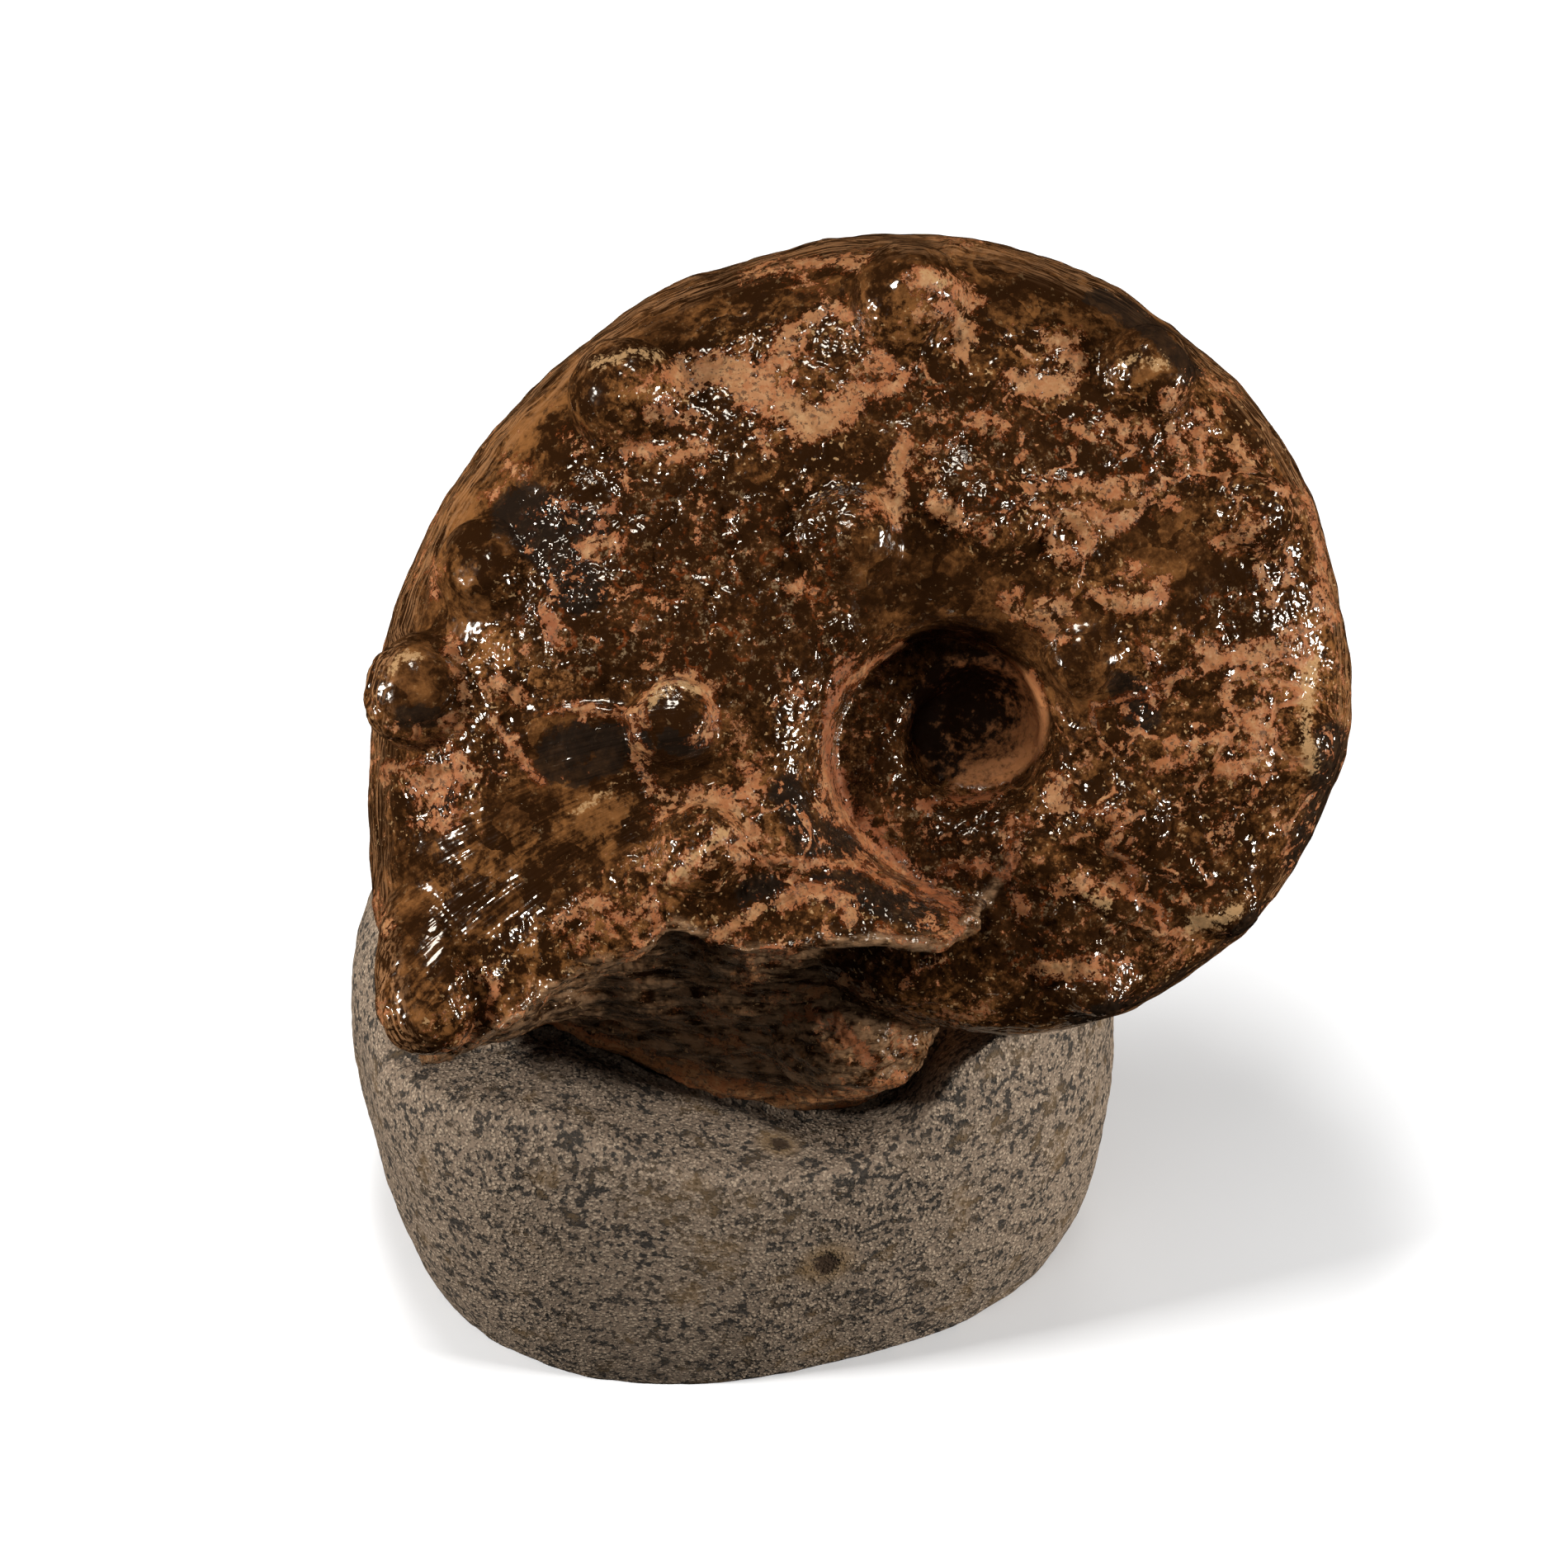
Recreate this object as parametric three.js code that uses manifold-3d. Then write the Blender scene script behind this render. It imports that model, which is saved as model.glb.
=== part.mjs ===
// A mammites ammonite: a thick, horned fossil shell, broken off across its mouth. It leans back in
// a seat ground into the top of a rounded cobble, whose underside is sawn flat to stand on.
// Millimetres, +Z up. The origin is the middle of the sawn face, and the fossil faces -Y.
import * as THREE from 'three';
import { ParametricGeometry } from 'three/addons/geometries/ParametricGeometry.js';
import { ImprovedNoise } from 'three/addons/math/ImprovedNoise.js';
import { mergeVertices } from 'three/addons/utils/BufferGeometryUtils.js';
import Module from 'manifold-3d';

const wasm = await Module();
wasm.setup();

const degrees = THREE.MathUtils.degToRad;
const { smoothstep, lerp } = THREE.MathUtils;

// Where the fossil stands on the cobble: the coil's middle, and how far its disc leans back.
const COIL_MIDDLE = new THREE.Vector3(63, -17, 197);
const LEAN = degrees(38);

// The coil, in its own frame: X to the right, Y up the disc, Z along the coil's axis to the front.
// It grows anticlockwise, and a turn's angle is 0 straight to the right of the axis.
const VENTER_RADIUS = 104.5; // from the axis out to the venter, at angle 0
const GROWTH = 0.139; // of every radius, for each radian of turn
const UMBILICUS_SHARE = 0.215; // the umbilicus's radius, as a share of the venter's
const THICKNESS_SHARE = 0.44; // half the whorl's thickness, as a share of its height
const VENTER_SQUARENESS = 2.6; // the section's power on its outer side: 2 is an ellipse
const UMBILICAL_SQUARENESS = 4.2; // and on its inner one, where the wall drops steeply to the pit
const FLANK_TAPER = 0.1; // the whorl is thicker at its umbilical shoulder by this share
const RING_STEP = degrees(7.5);
const MOUTH_ANGLE = degrees(277.5);
const JOIN_ANGLE = degrees(60); // where the last whorl's two solids meet
const LAST_WHORL_START = degrees(-120);
const COIL_START = degrees(-465);

// Uneven growth: where the venter swells past the even spiral, and where the umbilicus is tight.
const SWELL = { at: degrees(105), width: degrees(60), share: 0.035 };
const TIGHT = { at: degrees(35), width: degrees(75), share: 0.14 };
const WORN = { depth: 1.6, wavelength: 34 }; // the lumps that weathering left all over

// Horns on the two ventral shoulders: the turn's angle, how far out the base's middle is as a share
// of the venter's radius, height, base radius, how far it points to the side and along the growth.
const HORNS = [
  { at: 206, out: 0.91, height: 27, radius: 17, side: 1.5, forward: 1.8 },
  { at: 175, out: 0.91, height: 19, radius: 14, side: 1.5, forward: 0.1 },
  { at: 161, out: 0.88, height: 7, radius: 13, side: 1.6, forward: 0 },
  { at: 135, out: 0.87, height: 12, radius: 14, side: 1.5, forward: 0.1 },
  { at: 98, out: 0.86, height: 12, radius: 14, side: 1.7, forward: 0 },
  { at: 64, out: 0.87, height: 11, radius: 12, side: 1.5, forward: 0 },
  { at: 38, out: 0.84, height: 9, radius: 10, side: 1.5, forward: 0 },
  { at: -2, out: 0.9, height: 7, radius: 10, side: 1.1, forward: 0 },
  { at: -33, out: 0.9, height: 6, radius: 9, side: 1.1, forward: 0 },
  { at: -62, out: 0.86, height: 7, radius: 8, side: 1.4, forward: 0 },
];
// Round knobs along the umbilical shoulder, placed in the same way.
const KNOBS = [
  { at: 202, out: 0.46, height: 8, radius: 12 },
  { at: 176, out: 0.49, height: 11, radius: 11 },
  { at: 121, out: 0.44, height: 10, radius: 13 },
  { at: 83, out: 0.5, height: 4, radius: 14 },
  { at: 35, out: 0.34, height: 6, radius: 8 },
  { at: -28, out: 0.5, height: 6, radius: 10 },
];
const RIB = { width: degrees(11), height: 2.2 }; // the low swelling from each knob out to its horn

// The break across the mouth, as heights up the disc at distances to the right. It runs level
// across the front flank and sags lower on the back one, with a hollow between the two lips.
const FRONT_LIP = [
  [-190, -104], [-150, -92], [-124, -77], [-105, -61], [-85, -56], [-59, -56], [-29, -52], [-8, -53],
  [3, -47], [14, -30], [30, -10],
];
const BACK_LIP = [
  [-190, -104], [-142, -90], [-115, -86], [-91, -97], [-67, -105], [-45, -110], [-27, -108], [-15, -98],
  [-6, -76], [6, -50], [14, -30], [30, -10],
];
const FRONT_LIP_DEPTH = 46; // of the front lip in front of the disc's middle plane
const BACK_LIP_DEPTH = -38;
const MOUTH_HOLLOW = 9;
const MOUTH_CUTTER = { left: -190, right: 60, half_depth: 95, reach_down: 260 };
const LOBE = { at: [-32, -82, -18], size: [25, 21, 23] }; // the rounded swelling low in the break
const FIRST_CHAMBER = { radius: 20, thickness: 9 }; // what closes the coil's middle, deep in the pit
// The round pit in the middle of each flank: its middle and radius, and how deep in it is widest.
const PIT = { at: [3.3, 3.7], radius: 18, widest: 34, half_depth: 30 };

// The cobble: half width, half depth, the middle's height and the dome's height over it.
const COBBLE = { half_width: 110, half_depth: 91, middle: 67, dome: 87, belly: 122 };
const COBBLE_OFFSET = [-2.5, 4];
const COBBLE_SQUARENESS = 2.5;
const COBBLE_TURN = degrees(15); // its long way, turned from the row's X
const COBBLE_TIP = degrees(-6); // its right side is raised
const COBBLE_LUMPS = { height: 3, wavelength: 90 };
const SEAT_GAP = 0.45; // between the fossil and the ground seat, all round
// The trough ground across the cobble's top: its floor, as heights at distances to the right, keeps
// clear of the broken mouth and lets the older whorl sit in the stone. Its back wall is behind.
const TROUGH_FLOOR = [
  [-220, -92], [-170, -100], [-148, -97], [-115, -91], [-91, -102], [-67, -110], [-45, -115], [-25, -113],
  [-12, -103], [-3, -90], [8, -86], [40, -80], [90, -66], [140, -48],
];
const TROUGH_BACK = -46;
// From under the back lip the floor falls away to the front, steeper below the broken mouth.
const TROUGH_FALL = { below_mouth: 0.5, below_coil: 0.15, from: -20, to: 20 };

const noise = new ImprovedNoise();

// A smooth uneven field from about -1 to 1, at a wavelength in millimetres.
function unevenness(point, wavelength, seed) {
  const s = 1 / wavelength;
  return noise.noise(point.x * s + seed, point.y * s + 2 * seed, point.z * s - seed);
}

// 1 at a place on the turn, falling smoothly to 0 a few widths away.
function near(angle, at, width) {
  return Math.exp(-(((angle - at) / width) ** 2));
}

function power(value, exponent) {
  return Math.sign(value) * Math.abs(value) ** exponent;
}

// The height at a distance along a profile of [distance, height] points, straight between them.
function heightOf(profile, distance) {
  const next = profile.findIndex(([x]) => x > distance);
  if (next === 0) return profile[0][1];
  if (next < 0) return profile[profile.length - 1][1];
  const [x0, y0] = profile[next - 1];
  const [x1, y1] = profile[next];
  return lerp(y0, y1, (distance - x0) / (x1 - x0));
}

function venterRadius(angle) {
  return VENTER_RADIUS * Math.exp(GROWTH * angle) * (1 + SWELL.share * near(angle, SWELL.at, SWELL.width));
}

function umbilicusRadius(angle) {
  const even = VENTER_RADIUS * Math.exp(GROWTH * angle) * UMBILICUS_SHARE;
  return even * (1 - TIGHT.share * near(angle, TIGHT.at, TIGHT.width));
}

// A point of the whorl's skin. Around the section, 0 is the venter and a quarter turn on is the
// front flank. A grown skin stands out by that much everywhere.
function skinPoint(angle, around, grow, target) {
  const outer = venterRadius(angle);
  const inner = umbilicusRadius(angle);
  const halfHeight = (outer - inner) / 2;
  const halfThickness = THICKNESS_SHARE * (outer - inner);
  const squareness = Math.cos(around) > 0 ? VENTER_SQUARENESS : UMBILICAL_SQUARENESS;
  const outward = power(Math.cos(around), 2 / squareness);
  const sideways = power(Math.sin(around), 2 / squareness);
  const ribs = HORNS.reduce((sum, horn) => sum + near(angle, degrees(horn.at), RIB.width), 0);
  const swelling = RIB.height * Math.min(ribs, 1) * (outer / VENTER_RADIUS) * Math.sin(around) ** 2;
  const radius = (outer + inner) / 2 + (halfHeight + grow) * outward;
  const taper = 1 - FLANK_TAPER * outward;
  target.set(
    radius * Math.cos(angle),
    radius * Math.sin(angle),
    (halfThickness * taper + swelling + grow) * sideways,
  );
  const lump = WORN.depth * unevenness(target, WORN.wavelength, 3.7);
  target.x += lump * outward * Math.cos(angle);
  target.y += lump * outward * Math.sin(angle);
  target.z += lump * sideways;
  return target;
}

// A closed solid of a geometry whose like vertices are merged and whose empty triangles are left out.
function solidOf(geometry) {
  const bare = geometry.clone();
  bare.deleteAttribute('normal');
  bare.deleteAttribute('uv');
  const merged = mergeVertices(bare, 1e-4);
  const corners = merged.index.array;
  const kept = [];
  for (let i = 0; i < corners.length; i += 3) {
    const [a, b, c] = corners.slice(i, i + 3);
    if (a !== b && b !== c && c !== a) kept.push(a, b, c);
  }
  const mesh = new wasm.Mesh({
    numProp: 3,
    vertProperties: new Float32Array(merged.attributes.position.array),
    triVerts: new Uint32Array(kept),
  });
  return new wasm.Manifold(mesh);
}

function geometryOf(solid) {
  const mesh = solid.getMesh();
  const geometry = new THREE.BufferGeometry();
  geometry.setAttribute('position', new THREE.BufferAttribute(mesh.vertProperties, 3));
  geometry.setIndex(new THREE.BufferAttribute(mesh.triVerts, 1));
  geometry.computeVertexNormals();
  return geometry;
}

// A stretch of the coiled tube, closed at both ends by a fan to the section's middle.
function whorl(from, to, step, sides, grow) {
  const steps = Math.round((to - from) / step);
  const rows = steps + 2;
  const place = (u, v, target) => {
    const row = Math.round(u * rows);
    const along = THREE.MathUtils.clamp((row - 1) / steps, 0, 1);
    const angle = lerp(from, to, along);
    skinPoint(angle, 2 * Math.PI * v, grow, target);
    if (row === 0 || row === rows) {
      const middle = (venterRadius(angle) + umbilicusRadius(angle)) / 2;
      target.set(middle * Math.cos(angle), middle * Math.sin(angle), 0);
    }
  };
  return solidOf(new ParametricGeometry(place, rows, sides));
}

// A ball stretched to three radii.
function ball([x, y, z]) {
  return new THREE.SphereGeometry(1, 16, 10).scale(x, y, z);
}

// A blunt horn or knob on the skin, on the front flank (side 1) or the back one (side -1).
// Its foot is sunk into the whorl and flares, and its top is round.
function boss({ at, out, height, radius, side = 2.2, forward = 0 }, flank, grow) {
  const angle = degrees(at);
  const outer = venterRadius(angle);
  const inner = umbilicusRadius(angle);
  const shareAcross = (2 * (outer * out - (outer + inner) / 2)) / (outer - inner);
  const squareness = shareAcross > 0 ? VENTER_SQUARENESS : UMBILICAL_SQUARENESS;
  const around = Math.acos(power(shareAcross, squareness / 2));
  const foot = skinPoint(angle, flank * around, 0, new THREE.Vector3());
  const outward = new THREE.Vector3(Math.cos(angle), Math.sin(angle), 0);
  const along = new THREE.Vector3(-Math.sin(angle), Math.cos(angle), 0);
  const axis = outward.addScaledVector(along, forward).setZ(flank * side).normalize();
  const sunk = 0.45 * radius;
  const rise = height + sunk;
  const profile = [new THREE.Vector2(0, -grow)];
  const rings = 4;
  for (let i = 0; i <= rings; i++) {
    const up = Math.sin((Math.PI / 2) * (i / rings));
    const wide = radius * (1 - up ** 2.2) ** 0.55 + grow;
    profile.push(new THREE.Vector2(i === rings ? 0 : wide, up * (rise + grow)));
  }
  profile[1].y = -grow;
  const turned = new THREE.LatheGeometry(profile, radius > 12 ? 9 : 7);
  turned.translate(0, -sunk, 0);
  turned.applyQuaternion(new THREE.Quaternion().setFromUnitVectors(new THREE.Vector3(0, 1, 0), axis));
  turned.translate(foot.x, foot.y, foot.z);
  return solidOf(turned);
}

// A block from left to right and from back to front, whose one face is as uneven as asked and whose
// other one is flat, a long way up or down from it.
function unevenBlock(left, right, back, front, reach, heightAt) {
  const block = new THREE.BoxGeometry(right - left, 1, front - back, 24, 1, 12);
  block.translate((left + right) / 2, 0, (back + front) / 2);
  const points = block.attributes.position;
  for (let i = 0; i < points.count; i++) {
    const uneven = Math.sign(points.getY(i)) !== Math.sign(reach);
    points.setY(i, uneven ? heightAt(points.getX(i), points.getZ(i)) : reach);
  }
  return solidOf(block);
}

// What is broken away below the mouth: its top follows the two lips and the hollow between them.
function brokenAway(grow) {
  const { left, right, half_depth: halfDepth, reach_down: reach } = MOUTH_CUTTER;
  return unevenBlock(left, right, -halfDepth, halfDepth, -reach, (x, z) => {
    const back = 1 - smoothstep(z, BACK_LIP_DEPTH, FRONT_LIP_DEPTH);
    const across = smoothstep(x, -125, -95) * (1 - smoothstep(x, -25, 5));
    const hollow = MOUTH_HOLLOW * 4 * back * (1 - back) * across;
    return lerp(heightOf(FRONT_LIP, x), heightOf(BACK_LIP, x), back) + hollow - grow;
  });
}

// The whole fossil as one solid, in the coil's frame.
function ammonite(grow) {
  const mouthEnd = whorl(JOIN_ANGLE - RING_STEP, MOUTH_ANGLE, RING_STEP, 26, grow).subtract(brokenAway(grow));
  const older = whorl(LAST_WHORL_START, JOIN_ANGLE, RING_STEP, 26, grow);
  const inner = whorl(COIL_START, LAST_WHORL_START + RING_STEP, 2 * RING_STEP, 26, grow);
  const lobe = ball(LOBE.size.map((radius) => radius + grow)).translate(...LOBE.at);
  const first = ball([FIRST_CHAMBER.radius, FIRST_CHAMBER.radius, FIRST_CHAMBER.thickness]);
  let shell = mouthEnd.add(older).add(inner).add(solidOf(lobe)).add(solidOf(first));
  for (const flank of [1, -1]) {
    for (const feature of [...HORNS, ...KNOBS]) shell = shell.add(boss(feature, flank, grow));
    const pit = ball([PIT.radius - grow, PIT.radius - grow, PIT.half_depth - grow]);
    shell = shell.subtract(solidOf(pit.translate(...PIT.at, flank * PIT.widest)));
  }
  return shell;
}

// The rounded cobble, sawn flat at z = 0.
function cobble() {
  const boulder = new THREE.SphereGeometry(1, 42, 24);
  boulder.rotateX(Math.PI / 2);
  const points = boulder.attributes.position;
  const point = new THREE.Vector3();
  for (let i = 0; i < points.count; i++) {
    point.fromBufferAttribute(points, i);
    const spread = Math.abs(point.x) ** COBBLE_SQUARENESS
      + Math.abs(point.y) ** COBBLE_SQUARENESS
      + Math.abs(point.z) ** COBBLE_SQUARENESS;
    point.multiplyScalar(spread ** (-1 / COBBLE_SQUARENESS));
    const tall = point.z > 0 ? COBBLE.dome : COBBLE.belly;
    point.multiply(new THREE.Vector3(COBBLE.half_width, COBBLE.half_depth, tall));
    const lump = COBBLE_LUMPS.height * unevenness(point, COBBLE_LUMPS.wavelength, 9.1);
    point.multiplyScalar(1 + lump / point.length());
    points.setXYZ(i, point.x, point.y, point.z);
  }
  boulder.rotateY(COBBLE_TIP);
  boulder.rotateZ(COBBLE_TURN);
  boulder.translate(...COBBLE_OFFSET, COBBLE.middle);
  const below = new THREE.BoxGeometry(400, 400, 200).translate(0, 0, -100);
  return solidOf(boulder).subtract(solidOf(below));
}

// What is ground out of the cobble's top, apart from the fossil's own print.
function trough() {
  const reach = 200;
  return unevenBlock(-reach, reach, TROUGH_BACK, reach, reach, (x, z) => {
    const belowCoil = smoothstep(x, TROUGH_FALL.from, TROUGH_FALL.to);
    const fall = lerp(TROUGH_FALL.below_mouth, TROUGH_FALL.below_coil, belowCoil);
    return heightOf(TROUGH_FLOOR, x) - fall * Math.max(z - BACK_LIP_DEPTH, 0);
  });
}

const stand = new THREE.Object3D();
stand.position.copy(COIL_MIDDLE);
stand.rotation.x = Math.PI / 2 - LEAN;
stand.updateMatrix();

const fossilMaterial = new THREE.MeshStandardMaterial({ color: 0x4a2c18, roughness: 0.35, metalness: 0 });
const cobbleMaterial = new THREE.MeshStandardMaterial({ color: 0x7d7364, roughness: 0.85, metalness: 0 });

const fossil = new THREE.Mesh(geometryOf(ammonite(0)), fossilMaterial);
fossil.name = 'ammonite';
fossil.position.copy(stand.position);
fossil.rotation.copy(stand.rotation);

const seat = ammonite(SEAT_GAP).add(trough()).transform(stand.matrix.elements);
const stone = new THREE.Mesh(geometryOf(cobble().subtract(seat)), cobbleMaterial);
stone.name = 'base_stone';

const part = new THREE.Group();
part.add(fossil, stone);

export default part;
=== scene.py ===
"""The looks of a mammites ammonite on a cobble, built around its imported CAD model.

Metres, +Z up. The origin is the middle of the cobble's sawn face, and the fossil faces -Y.
"""
import math
from itertools import product

import bmesh
import bpy
import numpy as np
from mathutils import Matrix, Vector, kdtree


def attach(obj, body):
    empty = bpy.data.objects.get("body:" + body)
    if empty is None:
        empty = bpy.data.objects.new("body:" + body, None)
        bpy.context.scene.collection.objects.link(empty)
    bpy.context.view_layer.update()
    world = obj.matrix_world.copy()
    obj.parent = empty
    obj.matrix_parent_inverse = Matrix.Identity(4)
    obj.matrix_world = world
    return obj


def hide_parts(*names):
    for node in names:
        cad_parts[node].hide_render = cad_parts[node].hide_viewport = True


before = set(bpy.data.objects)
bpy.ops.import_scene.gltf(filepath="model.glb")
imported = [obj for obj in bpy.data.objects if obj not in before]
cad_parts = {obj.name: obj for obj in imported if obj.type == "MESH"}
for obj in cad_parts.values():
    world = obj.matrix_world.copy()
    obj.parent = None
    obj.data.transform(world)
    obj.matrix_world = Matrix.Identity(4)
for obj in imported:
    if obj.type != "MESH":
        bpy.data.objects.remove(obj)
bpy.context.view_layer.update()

# The ammonite is one thick coiled shell turned to dark brown calcite. Its tube grows along a
# logarithmic spiral, anticlockwise as seen from the front, in a disc that leans back. It rests in a
# print of itself that is ground into the cobble.
COIL_MIDDLE = np.array([0.063, -0.017, 0.197])
LEAN = math.radians(38)
COIL_AXES = np.array([
    [1, 0, 0],
    [0, math.sin(LEAN), math.cos(LEAN)],
    [0, -math.cos(LEAN), math.sin(LEAN)],
])
VENTER_RADIUS = 0.1045
GROWTH = 0.139
UMBILICUS_SHARE = 0.215
THICKNESS_SHARE = 0.44
VENTER_SQUARENESS, UMBILICAL_SQUARENESS = 2.6, 4.2
FLANK_TAPER = 0.1
COIL_START, LAST_WHORL_START, JOIN_ANGLE, MOUTH_ANGLE = np.radians([-465, -120, 60, 277.5])
WHORL_OVERLAP = math.radians(8)
# The turn's angle, share of the venter's radius, height, base radius, and how far it points to the
# side and along the growth.
HORNS = [
    (204, 0.915, 0.023, 0.014, 1.5, 1.8),
    (175, 0.91, 0.017, 0.0145, 1.5, 0.1),
    (161, 0.88, 0.007, 0.013, 1.6, 0),
    (135, 0.87, 0.014, 0.014, 1.5, 0.1),
    (98, 0.86, 0.014, 0.014, 1.7, 0),
    (64, 0.87, 0.013, 0.012, 1.5, 0),
    (38, 0.84, 0.010, 0.010, 1.5, 0),
    (-2, 0.90, 0.005, 0.010, 1.1, 0),
    (-33, 0.90, 0.006, 0.009, 1.1, 0),
    (-62, 0.86, 0.007, 0.008, 1.4, 0),
]
KNOBS = [
    (202, 0.46, 0.008, 0.012, 2.2, 0),
    (176, 0.49, 0.011, 0.011, 2.2, 0),
    (121, 0.44, 0.010, 0.013, 2.2, 0),
    (83, 0.50, 0.004, 0.014, 2.2, 0),
    (35, 0.34, 0.006, 0.008, 2.2, 0),
    (-28, 0.50, 0.006, 0.010, 2.2, 0),
]
RIB_WIDTH, RIB_HEIGHT = math.radians(11), 0.0022
BOSS_FOOT_SHARE, BOSS_GIRTH, BOSS_FULLNESS = 0.45, 1.15, 2.5


def to_coil(points):
    return (points - COIL_MIDDLE) @ COIL_AXES.T


def from_coil(points):
    return points @ COIL_AXES + COIL_MIDDLE


def near(value, at, width):
    """1 at a value, falling smoothly to 0 a few widths away."""
    return np.exp(-(((value - at) / width) ** 2))


def eased(value, low, high):
    """0 below low and 1 above high, with a soft climb between."""
    share = np.clip((value - low) / (high - low), 0, 1)
    return share * share * (3 - 2 * share)


def power(value, exponent):
    return np.sign(value) * np.abs(value) ** exponent


def venter_radius(angle):
    swell = 1 + 0.035 * near(angle, math.radians(105), math.radians(60))
    return VENTER_RADIUS * np.exp(GROWTH * angle) * swell


def umbilicus_radius(angle):
    tight = 1 - 0.14 * near(angle, math.radians(35), math.radians(75))
    return VENTER_RADIUS * np.exp(GROWTH * angle) * UMBILICUS_SHARE * tight


def skin(angle, around):
    """Points of the whorl's skin. Around the section, 0 is the venter and a quarter turn the front."""
    outer, inner = venter_radius(angle), umbilicus_radius(angle)
    squareness = np.where(np.cos(around) > 0, VENTER_SQUARENESS, UMBILICAL_SQUARENESS)
    outward = power(np.cos(around), 2 / squareness)
    sideways = power(np.sin(around), 2 / squareness)
    ribs = sum(near(angle, math.radians(horn[0]), RIB_WIDTH) for horn in HORNS)
    swelling = RIB_HEIGHT * np.minimum(ribs, 1) * outer / VENTER_RADIUS * np.sin(around) ** 2
    radius = (outer + inner) / 2 + (outer - inner) / 2 * outward
    half_thickness = THICKNESS_SHARE * (outer - inner) * (1 - FLANK_TAPER * outward) + swelling
    return np.stack([radius * np.cos(angle), radius * np.sin(angle), half_thickness * sideways], 1)


def move_to(verts, points):
    for vert, point in zip(verts, points):
        vert.co = point


def add_whorl(shape, start, end, rings, sides):
    """A stretch of the coiled tube, closed at both ends by a fan to the section's middle."""
    verts = bmesh.ops.create_grid(shape, x_segments=rings, y_segments=sides, size=1)["verts"]
    grid = np.array([vert.co for vert in verts])
    ring = (grid[:, 0] + 1) / 2 * rings
    angle = start + (end - start) * np.clip((ring - 1) / (rings - 2), 0, 1)
    points = skin(angle, (grid[:, 1] + 1) * math.pi)
    closing = np.abs(grid[:, 0]) > 1 - 1e-6
    middle = (venter_radius(angle) + umbilicus_radius(angle)) / 2
    fan = np.stack([middle * np.cos(angle), middle * np.sin(angle), 0 * angle], 1)
    move_to(verts, from_coil(np.where(closing[:, None], fan, points)))


def add_ball(shape, place, radii, axis=(0, 0, 1), fullness=2):
    """A ball stretched along an axis, in the coil's frame. A fuller one has a blunter top."""
    turn = Vector((0, 0, 1)).rotation_difference(Vector(axis)).to_matrix()
    verts = bmesh.ops.create_uvsphere(shape, u_segments=32, v_segments=20, radius=1)["verts"]
    ball = np.array([vert.co for vert in verts])
    girth = np.hypot(ball[:, 0], ball[:, 1])
    ball /= ((girth**fullness + np.abs(ball[:, 2]) ** fullness) ** (1 / fullness))[:, None]
    points = (ball * radii) @ np.array(turn).T
    move_to(verts, from_coil(points + place))


def add_boss(shape, at, out, height, radius, side, forward, flank):
    """A horn or knob on the front flank (1) or the back one (-1), with its foot in the whorl."""
    angle = np.array([math.radians(at)])
    outer, inner = venter_radius(angle), umbilicus_radius(angle)
    share_across = (2 * outer * out - outer - inner) / (outer - inner)
    squareness = np.where(share_across > 0, VENTER_SQUARENESS, UMBILICAL_SQUARENESS)
    foot = skin(angle, flank * np.arccos(power(share_across, squareness / 2)))[0]
    outward = np.array([math.cos(angle[0]), math.sin(angle[0]), 0])
    along = np.array([-math.sin(angle[0]), math.cos(angle[0]), 0])
    axis = outward + forward * along + np.array([0, 0, flank * side])
    axis /= np.linalg.norm(axis)
    sunk = BOSS_FOOT_SHARE * radius
    radii = (BOSS_GIRTH * radius, BOSS_GIRTH * radius, height + sunk)
    add_ball(shape, foot - sunk * axis, radii, axis, BOSS_FULLNESS)


def close_up(shape):
    bmesh.ops.remove_doubles(shape, verts=shape.verts, dist=1e-6)
    bmesh.ops.recalc_face_normals(shape, faces=shape.faces)


def make_piece(name, shape):
    mesh = bpy.data.meshes.new(name)
    shape.to_mesh(mesh)
    shape.free()
    piece = bpy.data.objects.new(name, mesh)
    bpy.context.collection.objects.link(piece)
    return piece


def work_out(piece):
    """Gives the piece the mesh that its modifiers make of it."""
    seen = piece.evaluated_get(bpy.context.evaluated_depsgraph_get())
    mesh = bpy.data.meshes.new_from_object(seen)
    piece.modifiers.clear()
    piece.data = mesh


ROUGH_VOXEL, FINE_VOXEL, QUICK_VOXEL = 0.0022, 0.00095, 0.0016


def fuse(piece, voxel, rounds):
    """Fuses what overlaps into one skin of small squares, and softens it."""
    remesh = piece.modifiers.new("fuse", "REMESH")
    remesh.mode = "VOXEL"
    remesh.voxel_size = voxel
    soften = piece.modifiers.new("soften", "SMOOTH")
    soften.factor = 0.5
    soften.iterations = rounds
    work_out(piece)


def cut_away(piece, cutter):
    cut = piece.modifiers.new("cut", "BOOLEAN")
    cut.operation = "DIFFERENCE"
    cut.solver = "EXACT"
    cut.object = cutter
    work_out(piece)
    bpy.data.objects.remove(cutter)


def make_cutter(name, steps, sheet_at, far):
    """A block that reaches from a wavy sheet to a far height up the disc."""
    block = bmesh.new()
    bmesh.ops.create_grid(block, x_segments=steps[0], y_segments=steps[1], size=1)
    flat = np.array([vert.co for vert in block.verts])
    move_to(block.verts, sheet_at(flat[:, 0], flat[:, 1]))
    extruded = bmesh.ops.extrude_face_region(block, geom=block.faces[:])["geom"]
    for vert in extruded:
        if isinstance(vert, bmesh.types.BMVert):
            vert.co.y = far
    move_to(block.verts, from_coil(np.array([vert.co for vert in block.verts])))
    close_up(block)
    return make_piece(name, block)


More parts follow.
